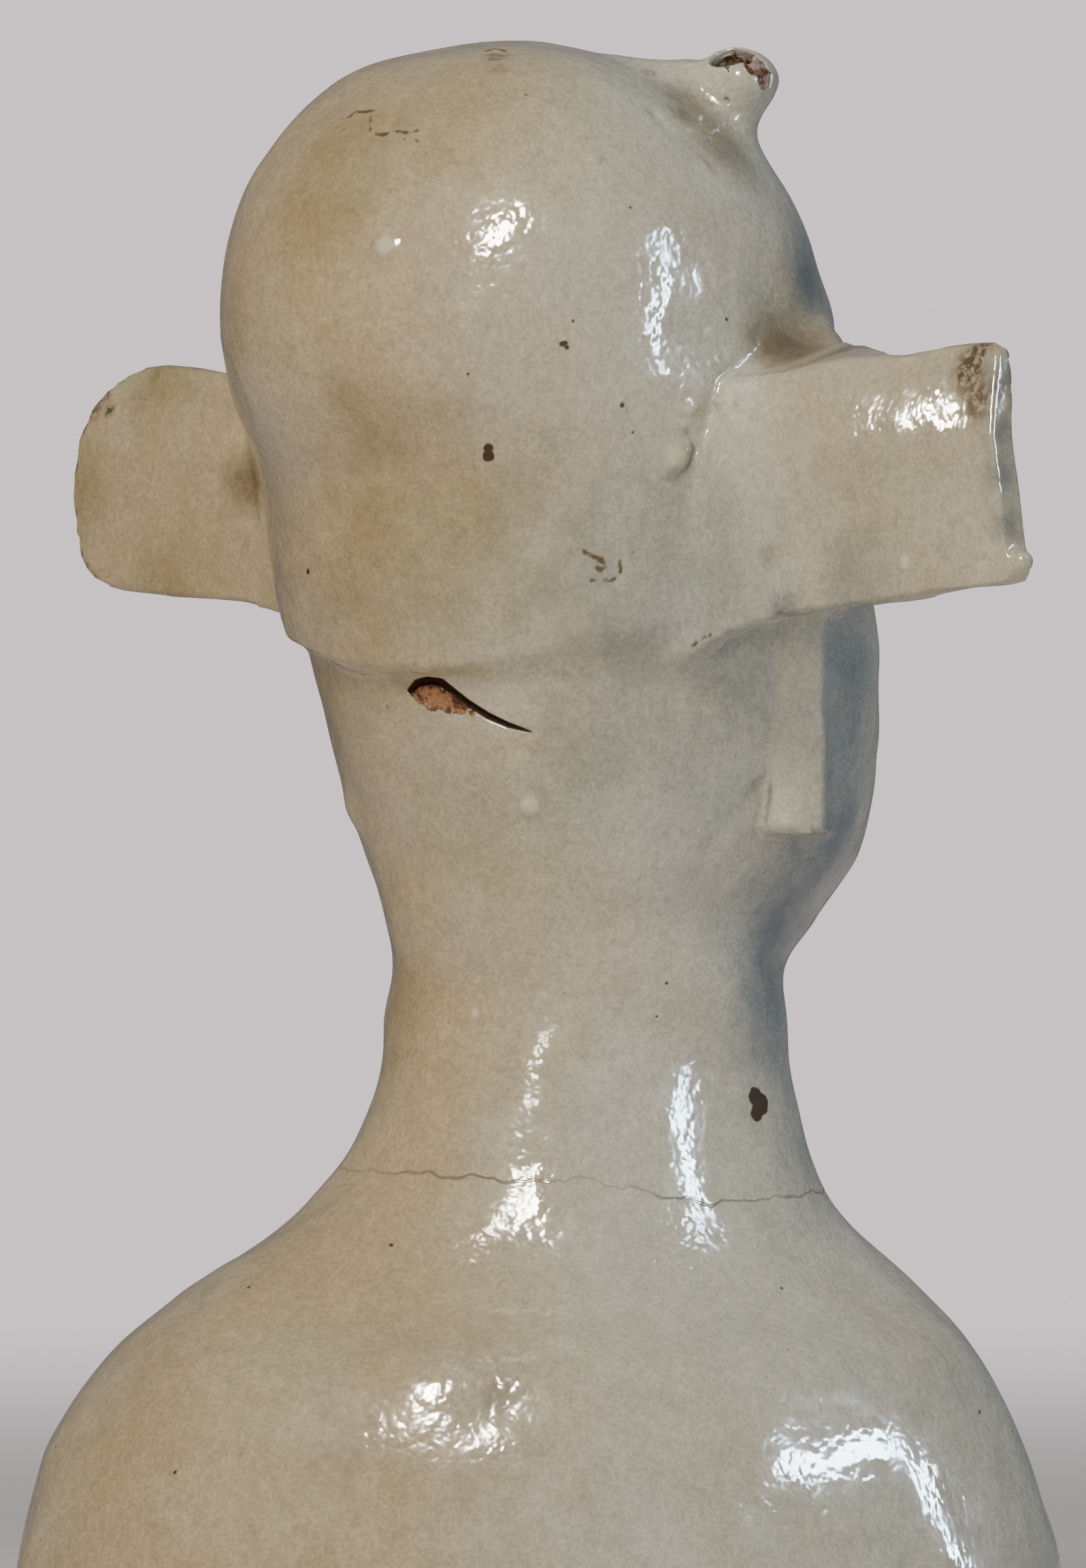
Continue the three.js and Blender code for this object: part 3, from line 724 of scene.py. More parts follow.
def seen_at(pixels):
    """The points of the bust that show at pixels of the photograph."""
    pixels = np.array(pixels, float)
    ways = pixel_ways(pixels)
    travelled = np.full(len(pixels), CAMERA_DISTANCE - 55.0)
    for _ in range(60):
        distance, _ = near_surface(EYE_POINT + ways * travelled[:, None], smooth_bust)
        travelled += np.clip(distance * 0.85, -2, 6)
        travelled = np.minimum(travelled, CAMERA_DISTANCE + 30)
    return EYE_POINT + ways * travelled[:, None]


def close_to(p, points, reach):
    """Whether each place is within reach of a ball round some points."""
    centre = (points.min(axis=0) + points.max(axis=0)) / 2
    radius = np.linalg.norm(points - centre, axis=1).max() + reach
    return ((p - centre) ** 2).sum(axis=-1) < radius**2


def line_distance(p, points, half_widths, reach=3.0):
    """The distance to a line through points, less its half width; far from the line it is just reach."""
    nearest = np.full(p.shape[:-1], reach)
    close = close_to(p, points, reach)
    q = p[close]
    found = np.full(len(q), reach)
    for start, end, first, last in zip(points[:-1], points[1:], half_widths[:-1], half_widths[1:]):
        way = end - start
        t = np.clip(((q - start) @ way) / (way @ way), 0, 1)
        gap = np.linalg.norm(q - start - t[..., None] * way, axis=-1) - mix(first, last, t)
        found = np.minimum(found, gap)
    nearest[close] = found
    return nearest


bump_points = seen_at([row[1:3] for row in BUMPS])
groove_lines = [seen_at(row[1]) for row in GROOVES]
slit_line = seen_at([row[:2] for row in SLIT])
slit_widths = np.array([row[2] for row in SLIT])
_, slit_slope = near_surface(slit_line, smooth_bust)
slit_inward = -slit_slope / np.linalg.norm(slit_slope, axis=1)[:, None]
clay_points = seen_at([row[:2] for row in CLAY])
scratch_lines = [seen_at(row[0]) for row in SCRATCHES]


def clay_gap(p, reach=3.0):
    """The distance to the nearest bare clay; far from all of it just reach."""
    nearest = np.full(p.shape[:-1], reach)
    centres = np.vstack([clay_points, hollow_end])
    radii = [row[2] for row in CLAY] + [HOLLOW_RADIUS * 1.25]
    for centre, radius in zip(centres, radii):
        close = close_to(p, centre[None], reach)
        gap = np.linalg.norm(p[close] - centre, axis=-1) - radius
        nearest[close] = np.minimum(nearest[close], gap)
    return nearest


def slit_gap(p, reach=3.0):
    """The distance to the slit, which is a sheet going in from its line to its depth."""
    nearest = np.full(p.shape[:-1], reach)
    close = close_to(p, slit_line, reach)
    q = p[close]
    found = np.full(len(q), reach)
    for k in range(len(slit_line) - 1):
        way = slit_line[k + 1] - slit_line[k]
        inward = slit_inward[k]
        beside = q - slit_line[k]
        beside = beside - np.clip(beside @ inward, 0, SLIT_DEPTH)[..., None] * inward
        t = np.clip((beside @ way) / (way @ way), 0, 1)
        gap = np.linalg.norm(beside - t[..., None] * way, axis=-1) - mix(slit_widths[k], slit_widths[k + 1], t)
        found = np.minimum(found, gap)
    nearest[close] = found
    return nearest


def marked_bust(p, body):
    """The signed distance to the bust with its swells, bumps, grooves, slit and chips."""
    raised = swells(p)
    for point, (_, _, _, radius, height) in zip(bump_points, BUMPS):
        close = close_to(p, point[None], 2.5 * radius)
        raised[close] += height * np.exp(-((p[close] - point) ** 2).sum(axis=-1) / radius**2)
    for line, (_, _, half_width, depth) in zip(groove_lines, GROOVES):
        gap = line_distance(p, line, np.zeros(len(line)))
        raised -= depth * np.exp(-((gap / half_width) ** 2))
    raised -= SLIT_DEPTH * (1 - smooth(slit_gap(p), -0.10, 0.22))
    raised -= 0.16 * (1 - smooth(clay_gap(p), -0.15, 0.12))
    floor = -p[..., 2]
    return both(smooth_bust(p, body) - raised, floor, 0.4)


def surface_net(values, origin, step):
    """Points and quads of the zero level of a grid of values."""
    shape = np.array(values.shape)
    loops, crossings = [], []
    for axis in range(3):
        u, v = (axis + 1) % 3, (axis + 2) % 3
        a = np.take(values, range(shape[axis] - 1), axis)
        b = np.take(values, range(1, shape[axis]), axis)
        at = np.argwhere((a < 0) != (b < 0))
        at = at[(at[:, u] > 0) & (at[:, v] > 0) & (at[:, u] < shape[u] - 1) & (at[:, v] < shape[v] - 1)]
        start, end = a[tuple(at.T)], b[tuple(at.T)]
        spot = at.astype(float)
        spot[:, axis] += start / (start - end)
        eu, ev = np.eye(3, dtype=int)[[u, v]]
        cells = np.stack([at - eu - ev, at - ev, at, at - eu], axis=1)
        loop = np.ravel_multi_index(cells.reshape(-1, 3).T, shape).reshape(-1, 4)
        crossings.append((loop.copy(), spot))
        loop[start > 0] = loop[start > 0][:, ::-1]
        loops.append(loop)
    used, quads = np.unique(np.concatenate(loops), return_inverse=True)
    quads = quads.reshape(-1, 4)
    total = np.zeros((len(used), 3))
    count = np.zeros(len(used))
    for loop, spot in crossings:
        index = np.searchsorted(used, loop)
        for k in range(4):
            count += np.bincount(index[:, k], minlength=len(used))
            for c in range(3):
                total[:, c] += np.bincount(index[:, k], spot[:, c], minlength=len(used))
    return origin + step * total / count[:, None], quads


def triangles_of(points, quads):
    """Each quad cut along its shorter diagonal."""
    a, b, c, d = (points[quads[:, k]] for k in range(4))
    short = np.linalg.norm(a - c, axis=1) <= np.linalg.norm(b - d, axis=1)
    first = np.where(short[:, None], quads[:, [0, 1, 2]], quads[:, [0, 1, 3]])
    second = np.where(short[:, None], quads[:, [0, 2, 3]], quads[:, [1, 2, 3]])
    return np.concatenate([first, second])


def edges_of(faces):
    """The mesh's edges, and for each face the numbers of its three edges."""
    pairs = np.sort(faces[:, [0, 1, 1, 2, 2, 0]].reshape(-1, 2), axis=1)
    edges, index = np.unique(pairs, axis=0, return_inverse=True)
    return edges, index.reshape(-1, 3)


def relaxed(points, faces, share):
    """Points moved part of the way to the middle of their neighbours."""
    edges, _ = edges_of(faces)
    total = np.zeros_like(points)
    count = np.bincount(edges.ravel(), minlength=len(points))
    for c in range(3):
        total[:, c] += np.bincount(edges[:, 0], points[edges[:, 1], c], minlength=len(points))
        total[:, c] += np.bincount(edges[:, 1], points[edges[:, 0], c], minlength=len(points))
    return mix(points, total / count[:, None], share)


def refined(points, faces, wanted):
    """The mesh with each edge halved that is longer than is wanted at its middle."""
    edges, index = edges_of(faces)
    a, b = points[edges[:, 0]], points[edges[:, 1]]
    middle = (a + b) / 2
    split = np.linalg.norm(a - b, axis=1) > wanted(middle)
    number = np.full(len(edges), -1)
    number[split] = len(points) + np.arange(split.sum())
    points = np.concatenate([points, middle[split]])
    mids = number[index]
    count = (mids >= 0).sum(axis=1)
    made = [faces[count == 0]]
    for k in range(3):
        order = [(k + i) % 3 for i in range(3)]
        v = faces[:, order]
        m = mids[:, order]
        one = (count == 1) & (m[:, 0] >= 0)
        made += [np.stack([v[one, 0], m[one, 0], v[one, 2]], 1), np.stack([m[one, 0], v[one, 1], v[one, 2]], 1)]
        two = (count == 2) & (m[:, 2] < 0)
        made += [
            np.stack([m[two, 0], v[two, 1], m[two, 1]], 1),
            np.stack([v[two, 0], m[two, 0], m[two, 1]], 1),
            np.stack([v[two, 0], m[two, 1], v[two, 2]], 1),
        ]
    v, m = faces[count == 3], mids[count == 3]
    made += [np.stack([v[:, i], m[:, i], m[:, (i + 2) % 3]], 1) for i in range(3)]
    made.append(m)
    return points, np.concatenate(made)


def projected(points, rounds, most=0.4):
    """Points moved on to the surface, with the surface's directions there."""
    for _ in range(rounds + 1):
        distance, slope = near_surface(points, marked_bust)
        size = np.maximum(np.linalg.norm(slope, axis=1), 0.3)
        move = np.clip(distance / size, -most, most)
        normals = slope / size[:, None]
        points = points - normals * move[:, None]
    return points, normals / np.linalg.norm(normals, axis=1)[:, None]


def wanted_length(p):
    """The longest edge that the mesh should have at a place."""
    forward = LUG_LINE_BACK - p[:, 1]
    z = p[:, 2]
    length = np.full(len(p), 1.2)
    length[(forward > 8) & (z > 41) & (z < 76)] = 0.5
    fine = np.linalg.norm(p - knob_plane_point(11.5, 88.0), axis=1) - 4
    length = np.minimum(length, np.maximum(0.25, fine * 0.3))
    lines = np.full(len(p), np.inf)
    for line in groove_lines + scratch_lines:
        lines = np.minimum(lines, line_distance(p, line, np.zeros(len(line))))
    length = np.minimum(length, np.maximum(0.16, (lines - 0.3) * 0.6))
    length = np.minimum(length, np.maximum(0.08, (slit_gap(p) - 0.15) * 0.6))
    for point, (_, _, _, radius, _) in zip(bump_points, BUMPS):
        beyond = np.linalg.norm(p - point, axis=1) - 1.5 * radius
        length = np.minimum(length, np.maximum(0.35 * radius, beyond * 0.5))
    end_edge = np.hypot(p[:, 0] - MIDDLE_X + RIGHT_LUG["reach"] - 1.2, p[:, 1] - LUG_LINE_BACK - 0.9) - 1.3
    length = np.minimum(length, np.where((z > 57) & (z < 74), np.maximum(0.2, end_edge * 0.6), 1.2))
    return np.minimum(length, np.maximum(0.14, clay_gap(p) * 0.5))


def start_mesh():
    """A mesh of the whole bust, from a grid that is worked out in full only near the surface."""
    origin = low - 2.1 * GRID_STEP
    count = np.ceil(((high - low) / GRID_STEP + 4.5) / COARSER).astype(int) * COARSER
    axes = [origin[k] + GRID_STEP * np.arange(count[k]) for k in range(3)]
    middles = [axis.reshape(-1, COARSER).mean(axis=1) for axis in axes]
    coarse = np.stack(np.meshgrid(*middles, indexing="ij"), axis=-1)
    value = body_value(coarse)
    slope = np.sqrt(sum(g**2 for g in np.gradient(value, GRID_STEP * COARSER)))
    slope = np.maximum(slope, 5e-3)
    rough = smooth_bust(coarse, value / slope)
    spread = np.ones((COARSER,) * 3)
    values = np.kron(rough, spread)
    slope = np.kron(slope, spread)
    close = np.abs(values) < 1.2 * GRID_STEP * COARSER
    index = np.argwhere(close)
    places = origin + GRID_STEP * index
    exact = smooth_bust(places, body_value(places) / slope[close])
    values[close] = both(exact - swells(places), -places[:, 2], 0.4)
    points, quads = surface_net(values, origin, GRID_STEP)
    return points, triangles_of(points, quads)


def bust_mesh():
    """The bust's points in mm, its triangles and the directions it faces."""
    points, faces = start_mesh()
    points, normals = projected(points, 2)
    for _ in range(2):
        points, normals = projected(relaxed(points, faces, 0.4), 0)
    for _ in range(REFINEMENTS):
        old = len(points)
        points, faces = refined(points, faces, wanted_length)
        points[old:], _ = projected(points[old:], 1)
    points, normals = projected(points, 0, 0.2)
    print("mesh", len(points), len(faces))
    return np.clip(points, low, high), faces, normals


def hollowness(points, normals):
    """How much of the sky the surface round a point takes away: 0 on a plain, near 1 in a crease."""
    total = np.zeros(len(points))
    for reach in HOLLOW_REACHES:
        distance, _ = near_surface(points + normals * reach, smooth_bust)
        total += np.clip(1 - distance / reach, 0, 1)
    return total / len(HOLLOW_REACHES)


def crack_gap(points):
    """The height above the crack, in mm."""
    out = points - HEAD_AXIS
    ahead = np.interp(points[:, 2], *AHEAD)
    out[:, 1] += ahead
    turn = np.degrees(np.arctan2(out @ PICTURE_RIGHT, -(out @ PICTURE_AWAY)))
    height = np.interp(turn, *zip(*CRACK))
    jitter = 0.10 * np.sin(np.radians(turn) * 23) + 0.06 * np.sin(np.radians(turn) * 61 + 1)
    return points[:, 2] - height - jitter


def bust():
    points, faces, normals = bust_mesh()
    mesh = bpy.data.meshes.new("bust")
    mesh.from_pydata((points * MM).tolist(), [], faces.tolist())
    mesh.shade_smooth()
    mesh.normals_split_custom_set_from_vertices(normals.tolist())
    scratch = np.full(len(points), np.inf)
    for line, (_, half_width) in zip(scratch_lines, SCRATCHES):
        scratch = np.minimum(scratch, line_distance(points, line, np.full(len(line), half_width)))
    fields = {
        "hollow": hollowness(points, normals),
        "crack": crack_gap(points),
        "slit": slit_gap(points),
        "clay": clay_gap(points),
        "scratch": scratch,
    }
    for name, values in fields.items():
        field = mesh.attributes.new(name, "FLOAT", "POINT")
        field.data.foreach_set("value", np.clip(values, -2, 2).astype(np.float32))
    piece = bpy.data.objects.new("glazed_bust", mesh)
    bpy.context.collection.objects.link(piece)
    return piece


class Shade:
    """A short way to add linked nodes to a material."""

    def __init__(self, tree):
        self.tree = tree

    def add(self, kind, inputs=None, **settings):
        made = self.tree.nodes.new("ShaderNode" + kind)
        for name, value in settings.items():
            setattr(made, name, value)
        for name, value in (inputs or {}).items():
            if isinstance(value, bpy.types.NodeSocket):
                self.tree.links.new(value, made.inputs[name])
            else:
                made.inputs[name].default_value = value
        return made

    def math(self, operation, a, b=0.0):
        return self.add("Math", {0: a, 1: b}, operation=operation).outputs[0]

    def step(self, value, start, end, low=0.0, high=1.0):
        """A smooth step from low to high as value goes from start to end."""
        inputs = {"Value": value, "From Min": start, "From Max": end, "To Min": low, "To Max": high}
        return self.add("MapRange", inputs, interpolation_type="SMOOTHSTEP").outputs[0]

    def blend(self, share, a, b, kind="MIX"):
        return self.add("Mix", {0: share, 6: a, 7: b}, data_type="RGBA", blend_type=kind).outputs[2]

    def noise(self, place, size, detail=2.0, rough=0.5):
        """Noise whose lumps are about size mm across."""
        inputs = {"Vector": place, "Scale": 1 / (size * MM * 2), "Detail": detail, "Roughness": rough}
        return self.add("TexNoise", inputs)

    def field(self, name):
        return self.add("Attribute", attribute_name=name).outputs["Fac"]


def spot_group():
    """A node group: the smaller of a distance so far and the distance to one spot."""
    tree = bpy.data.node_groups.new("nearest_spot", "ShaderNodeTree")
    for name, kind in (("Place", "NodeSocketVector"), ("Centre", "NodeSocketVector")):
        tree.interface.new_socket(name, in_out="INPUT", socket_type=kind)
    for name in ("Radius", "So far"):
        tree.interface.new_socket(name, in_out="INPUT", socket_type="NodeSocketFloat")
    tree.interface.new_socket("Nearest", in_out="OUTPUT", socket_type="NodeSocketFloat")
    shade = Shade(tree)
    start = tree.nodes.new("NodeGroupInput").outputs
    gap = shade.add("VectorMath", {0: start["Place"], 1: start["Centre"]}, operation="DISTANCE").outputs["Value"]
    nearest = shade.math("MINIMUM", shade.math("SUBTRACT", gap, start["Radius"]), start["So far"])
    tree.links.new(nearest, tree.nodes.new("NodeGroupOutput").inputs["Nearest"])
    return tree


def nearest_spot(shade, group, place, rows):
    """The distance from place to the nearest of some spots, given by pixel and radius in mm."""
    nearest = 1.0
    for point, row in zip(seen_at([row[:2] for row in rows]), rows):
        node = shade.tree.nodes.new("ShaderNodeGroup")
        node.node_tree = group
        shade.tree.links.new(place, node.inputs["Place"])
        node.inputs["Centre"].default_value = point * MM
        node.inputs["Radius"].default_value = row[2] * MM
        if isinstance(nearest, bpy.types.NodeSocket):
            shade.tree.links.new(nearest, node.inputs["So far"])
        else:
            node.inputs["So far"].default_value = nearest
        nearest = node.outputs[0]
    return nearest


def along_picture(shade, place):
    """How far a place lies towards the picture's right, in metres from the head's axis."""
    inputs = {0: place, 1: PICTURE_RIGHT}
    dot = shade.add("VectorMath", inputs, operation="DOT_PRODUCT").outputs["Value"]
    return shade.math("SUBTRACT", dot, float(HEAD_AXIS @ PICTURE_RIGHT) * MM)


def glaze():
    material = bpy.data.materials.new("glaze")
    material.use_nodes = True
    tree = material.node_tree
    shade = Shade(tree)
    shader = tree.nodes["Principled BSDF"]
    group = spot_group()
    place = shade.add("TexCoord").outputs["Object"]
    hollow = shade.field("hollow")

    # Painted light: the flank toward the warm lamp gets the glaze as lit by warm light, the other flank the glaze as
    # lit by cool window light, partly the glaze's own tone, with drifting clouds between; the near lug gets the
    # warm-lit colour again.
    right = along_picture(shade, place)
    up = shade.add("SeparateXYZ", {0: place}).outputs["Z"]
    on_lug = shade.math("MULTIPLY", shade.step(right, 0.010, 0.016), shade.step(up, 0.0565, 0.0585))
    cool_light_flank = shade.step(right, -0.009, 0.008)
    cool_light_flank = shade.math("MULTIPLY", cool_light_flank, shade.step(on_lug, 0.0, 1.0, 1.0, 0.6))
    cloud = shade.noise(place, 7.0, 3.0).outputs["Fac"]
    cool = shade.math("ADD", cool_light_flank, shade.step(cloud, 0.35, 0.65, -0.22, 0.22))
    colour = shade.blend(cool, GLAZE_IN_WARM_LIGHT, GLAZE_IN_COOL_LIGHT)
    # Glaze pooled in hollows, darker there: partly the glaze's own colour, partly painted shade in the recesses.
    pooled_and_shaded = shade.step(hollow, 0.22, 0.75)
    colour = shade.blend(shade.math("MULTIPLY", pooled_and_shaded, 0.45), colour, POOLED_GLAZE_AND_SHADE)

    # Painted shade and painted light in broad patches with cloudy edges.
    cloudy = shade.noise(place, 2.6, 3.0).outputs["Fac"]
    for (_, _, _, radius, tint, strength), point in zip(PAINTED_LIGHT_AND_SHADE, seen_at([row[1:3] for row in PAINTED_LIGHT_AND_SHADE])):
        gap = shade.add("VectorMath", {0: place, 1: point * MM}, operation="DISTANCE").outputs["Value"]
        gap = shade.math("ADD", gap, shade.step(cloudy, 0.3, 0.7, -0.18 * radius * MM, 0.18 * radius * MM))
        share = shade.step(gap, radius * MM * 1.1, 0.0, 0.0, strength)
        colour = shade.blend(share, colour, PAINTED_LIGHT_AND_SHADE_COLOURS[tint], "MULTIPLY")

    # Mottling in three sizes.
    mottle = shade.noise(place, 0.9, 3.0, 0.6).outputs["Fac"]
    grain = shade.noise(place, 0.28, 2.0, 0.6).outputs["Fac"]
    fine = shade.noise(place, 0.11, 1.0, 0.6).outputs["Fac"]
    light = shade.math("MULTIPLY", shade.step(mottle, 0.3, 0.7, 0.95, 1.04), shade.step(grain, 0.25, 0.75, 0.90, 1.07))
    light = shade.math("MULTIPLY", light, shade.step(fine, 0.25, 0.75, 0.87, 1.11))
    level = shade.add("CombineColor", {0: light, 1: light, 2: light}).outputs[0]
    colour = shade.blend(1.0, colour, level, "MULTIPLY")

    # Places for the marks, shaken a little so that no spot is round.
    shake = shade.noise(place, 0.35, 2.0).outputs["Color"]
    centred = shade.add("VectorMath", {0: shake, 1: (0.5, 0.5, 0.5)}, operation="SUBTRACT").outputs[0]
    small = shade.add("VectorMath", {0: centred, "Scale": 0.0003}, operation="SCALE").outputs[0]
    shaken = shade.add("VectorMath", {0: place, 1: small}, operation="ADD").outputs[0]

    # Brown stains, broken up by noise; the few that lie in creases and under the cap's edge are partly painted shade.
    patchy = shade.step(shade.noise(place, 0.22, 3.0, 0.7).outputs["Fac"], 0.36, 0.58, 0.15, 1.0)
    for row, point in zip(STAINS_AND_SHADE, seen_at([row[:2] for row in STAINS_AND_SHADE])):
        gap = shade.add("VectorMath", {0: shaken, 1: point * MM}, operation="DISTANCE").outputs["Value"]
        share = shade.step(gap, row[2] * MM * 1.25, row[2] * MM * 0.3, 0.0, row[3])
        colour = shade.blend(shade.math("MULTIPLY", share, patchy), colour, BROWN_STAIN_AND_SHADE)
    # The brown in deep creases is partly dirt and partly painted shade.
    crease = shade.step(hollow, 0.5, 0.95, 0.0, 0.75)
    colour = shade.blend(shade.math("MULTIPLY", crease, patchy), colour, BROWN_STAIN_AND_SHADE)

    # Pale clots, then pinholes and specks too many to place one by one.
    clot = shade.step(nearest_spot(shade, group, shaken, CLOTS), 0.00012, -0.00020, 0.0, 0.75)
    colour = shade.blend(clot, colour, CLOT)
    for size, radius, share, strength in ((1.5, 0.10, 0.30, 0.5), (4.2, 0.15, 0.22, 0.75)):
        cells = shade.add("TexVoronoi", {"Vector": shaken, "Scale": 1 / (size * MM), "Randomness": 1.0})
        chosen = shade.add("SeparateColor", {0: cells.outputs["Color"]}).outputs
        wide = shade.math("MULTIPLY", chosen[1], radius / size)
        spot = shade.step(shade.math("SUBTRACT", cells.outputs["Distance"], wide), 0.03, -0.02)
        dark = shade.math("MULTIPLY", spot, shade.math("LESS_THAN", chosen[0], share))
        colour = shade.blend(shade.math("MULTIPLY", dark, strength), colour, SPECK)

    # Placed iron spots, dirty scratches, the crack, and the slit painted dark as its shadow.
    iron = shade.step(nearest_spot(shade, group, shaken, IRON_SPOTS), 0.00004, -0.00008, 0.0, 0.93)
    colour = shade.blend(iron, colour, IRON)
    scratch = shade.math("ADD", shade.field("scratch"), shade.step(grain, 0.3, 0.7, -0.03, 0.09))
    colour = shade.blend(shade.step(scratch, 0.11, -0.02, 0.0, 0.95), colour, BROWN_STAIN_AND_SHADE)
    crack = shade.math("ABSOLUTE", shade.math("ADD", shade.field("crack"), shade.step(mottle, 0.2, 0.8, -0.12, 0.12)))
    in_crack = shade.step(crack, CRACK_HALF_WIDTH * 1.4, CRACK_HALF_WIDTH * 0.3)
    in_crack = shade.math("MULTIPLY", in_crack, shade.step(cloudy, 0.35, 0.60, 0.35, 0.85))
    colour = shade.blend(in_crack, colour, CRACK_DIRT)
    clay_noise = shade.noise(place, 0.45, 3.0, 0.7).outputs["Fac"]
    bare = shade.math("ADD", shade.field("clay"), shade.step(clay_noise, 0.3, 0.7, -0.12, 0.12))
    in_clay = shade.step(bare, 0.10, -0.04)
    pale = shade.blend(shade.step(up, 0.080, 0.081), PALE_CLAY, KNOB_CLAY)
    clay = shade.blend(shade.step(clay_noise, 0.40, 0.56), DARK_CLAY, pale)
    colour = shade.blend(in_clay, colour, clay)
    # The slit is painted nearly black: painted shadow inside the gap.
    slit_shadow = shade.step(shade.field("slit"), 0.17, 0.08)
    colour = shade.blend(slit_shadow, colour, SLIT_SHADOW)
    tree.links.new(colour, shader.inputs["Base Color"])

    dull = shade.math("MAXIMUM", shade.math("MAXIMUM", in_clay, slit_shadow), iron)
    rough = shade.step(mottle, 0.3, 0.7, 0.08, 0.16)
    rough = shade.math("ADD", rough, shade.math("MULTIPLY", dull, 0.7))
    tree.links.new(rough, shader.inputs["Roughness"])
    tree.links.new(shade.step(dull, 0.0, 1.0, 0.5, 0.1), shader.inputs["Specular IOR Level"])
    shader.inputs["IOR"].default_value = 1.5

    # The glaze's ripple, pits at the specks and the clay's grain.
    ripple = shade.noise(place, 0.28, 1.0, 0.4).outputs["Fac"]
    wide_ripple = shade.noise(place, 0.8, 1.0, 0.4).outputs["Fac"]
    height = shade.math("ADD", shade.math("MULTIPLY", ripple, 0.75), shade.math("MULTIPLY", wide_ripple, 0.7))
    height = shade.math("SUBTRACT", height, shade.math("MULTIPLY", in_crack, 1.2))
    height = shade.math("ADD", height, shade.math("MULTIPLY", shade.math("MULTIPLY", in_clay, clay_noise), 4.0))
    bump = shade.add("Bump", {"Height": height, "Strength": 1.0, "Distance": RIPPLE_HEIGHT * MM})
    tree.links.new(bump.outputs[0], shader.inputs["Normal"])
    return material


def camera():
    data = bpy.data.cameras.new("camera")
    data.sensor_width = SENSOR
    data.lens = SENSOR * CAMERA_DISTANCE / (PHOTO_HEIGHT / PIXELS_PER_MM)
    data.clip_start = 0.05
    data.clip_end = 50
    eye = bpy.data.objects.new("camera", data)
    bpy.context.collection.objects.link(eye)
    eye.location = Vector(EYE_POINT * MM)
    eye.rotation_mode = "QUATERNION"
    eye.rotation_quaternion = Vector(PICTURE_AWAY).to_track_quat("-Z", "Y")
    bpy.context.scene.camera = eye


def light(name, place, aim, size, colour, power, along=(0, 0, 1), spread=180.0, kind="lit"):
    """A rectangular lamp at a picture_point that faces another, with its second side along a direction."""
    data = bpy.data.lights.new(name, "AREA")
    data.shape = "RECTANGLE"
    data.size, data.size_y = size[0] * MM, size[1] * MM
    data.color = colour
    data.energy = power
    data.spread = math.radians(spread)
    lamp = bpy.data.objects.new(name, data)
    bpy.context.collection.objects.link(lamp)
    back = Vector(picture_point(*place) - picture_point(*aim)).normalized()
    side = Vector(picture_point(*along) - HEAD_AXIS).cross(back).normalized()
    turn = Matrix((side, back.cross(side), back)).transposed()
    lamp.matrix_world = Matrix.Translation(picture_point(*place) * MM) @ turn.to_4x4()
    lamp.visible_camera = False
    lamp.visible_glossy = kind == "mirrored"
    lamp.visible_diffuse = kind == "lit"


def soft_lights():
    middle = (0, 0, 55)
    light("key", (-105, 255, 343), middle, (140, 140), WARM_LIGHT, 1.20)
    light("low_fill", (-400, 1125, 140), middle, (800, 500), WARM_LIGHT, 5.0)
    light("cool_fill", (892, 157, 478), middle, (500, 800), BLUE_LIGHT, 2.5)
    light("far_fill", (100, -1142, 858), middle, (1200, 1200), WARM_LIGHT, 2.5)


def small_lights():
    """Lights that only show as reflections in the glaze, most of them close to it."""
    def mirrored(name, place, aim, size, colour, power, along=(0, 0, 1), spread=90.0):
        light(name, place, aim, size, colour, power, along, spread, kind="mirrored")

    mirrored("lamp", (-8, 134, 148), (0, 0, 55), (22, 38), WARM_LIGHT, 0.80, spread=180.0)
    mirrored("neck_lamp", (-2.8, 19.0, 38.0), (-0.4, 8.3, 27.2), (1.6, 1.6), WARM_LIGHT, 0.00028)
    mirrored("shoulder_lamp", (-5.9, 29.0, 26.6), (-5.0, 18.6, 15.7), (3.5, 3.5), WARM_LIGHT, 0.0013)
    mirrored("lug_lamp", (7.6, 23.2, 72.7), (21, 25.7, 69.5), (2.6, 1.4), WARM_LIGHT, 0.00015, spread=40.0)
    mirrored(
        "dome_window", (40.8, 30.5, 83.5), (8.9, 11.5, 75.5), (3, 30), BLUE_LIGHT, 0.0062, (2.5, -14.6, 26.8), 60.0,
    )
    mirrored("neck_window", (20.5, 13.3, 33.3), (8.7, 5.8, 28.7), (2.2, 3.5), BLUE_LIGHT, 0.0005, spread=60.0)
    mirrored("arc_start", (27.6, 19.6, 18.0), (15.0, 14.5, 11.8), (2.5, 5), BLUE_LIGHT, 0.0016, (0.3, -2.7, 3.8))
    mirrored("arc_left", (30.4, 14.9, 18.4), (17.6, 12.5, 12.6), (2.4, 8), BLUE_LIGHT, 0.0025, (5.2, -8.2, 0.5))
    mirrored("arc_top", (34.6, 8.4, 17.6), (20.6, 10, 12.5), (2, 5), BLUE_LIGHT, 0.0012, (2.6, -2.5, -3.2))
    mirrored("arc_right", (37.6, 6.1, 12.0), (23.2, 8.8, 8.4), (1.5, 8), BLUE_LIGHT, 0.0014, (2.8, -1.3, -7.5))


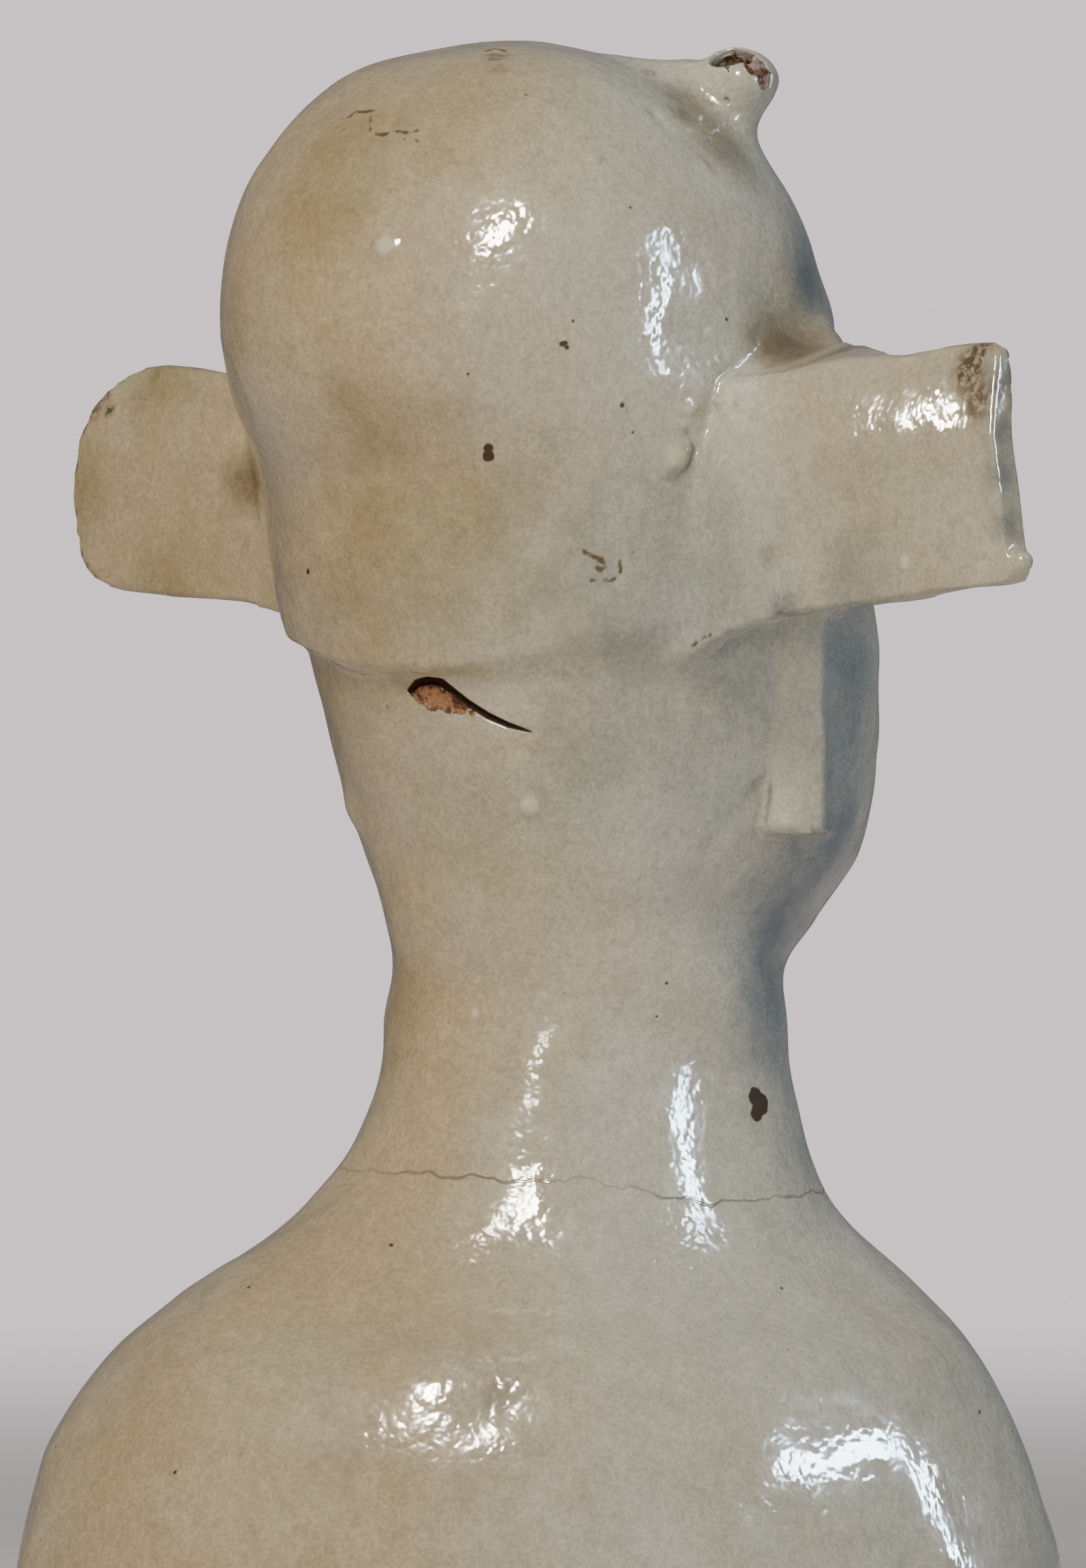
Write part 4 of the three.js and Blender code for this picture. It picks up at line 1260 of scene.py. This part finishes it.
def world():
    """A dim room with a paler wall behind the bust; the camera itself sees a plain backdrop."""
    room = bpy.data.worlds.new("room")
    bpy.context.scene.world = room
    room.use_nodes = True
    tree = room.node_tree
    shade = Shade(tree)
    way = shade.add("TexCoord").outputs["Generated"]
    away = shade.add("VectorMath", {0: way, 1: PICTURE_AWAY}, operation="DOT_PRODUCT").outputs["Value"]
    colour = shade.blend(shade.step(away, -0.2, 0.6), ROOM, WALL)
    up = shade.add("SeparateXYZ", {0: way}).outputs["Z"]
    brightness = shade.step(up, -0.8, 0.3, 0.45, 1.0)
    seen = shade.add("Background", {"Color": BACKDROP, "Strength": 1.0}).outputs[0]
    ambient = shade.add("Background", {"Color": colour, "Strength": brightness}).outputs[0]
    is_camera = shade.add("LightPath").outputs["Is Camera Ray"]
    mixed = shade.add("MixShader", {0: is_camera, 1: ambient, 2: seen}).outputs[0]
    tree.links.new(mixed, tree.nodes["World Output"].inputs["Surface"])


def floor():
    """A pale floor that fades into the backdrop away from the bust."""
    bpy.ops.mesh.primitive_circle_add(vertices=96, radius=FLOOR_REACH, fill_type="NGON", location=(0, 0, -0.0002))
    disc = bpy.context.object
    disc.name = "floor"
    material = bpy.data.materials.new("floor")
    material.use_nodes = True
    tree = material.node_tree
    shade = Shade(tree)
    shader = tree.nodes["Principled BSDF"]
    shader.inputs["Base Color"].default_value = (0.80, 0.76, 0.78, 1)
    shader.inputs["Roughness"].default_value = 0.8
    place = shade.add("TexCoord").outputs["Object"]
    out = shade.add("VectorMath", {0: place}, operation="LENGTH").outputs["Value"]
    solid = shade.step(out, FLOOR_REACH, FLOOR_REACH * 0.25)
    clear = shade.add("BsdfTransparent").outputs[0]
    mixed = shade.add("MixShader", {0: solid, 1: clear, 2: shader.outputs[0]}).outputs[0]
    tree.links.new(mixed, tree.nodes["Material Output"].inputs["Surface"])
    disc.data.materials.append(material)


piece = bust()
piece.data.materials.append(glaze())
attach(piece, "root")
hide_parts(NODE)
floor()
soft_lights()
small_lights()
world()
camera()

print("triangles", len(piece.data.polygons))
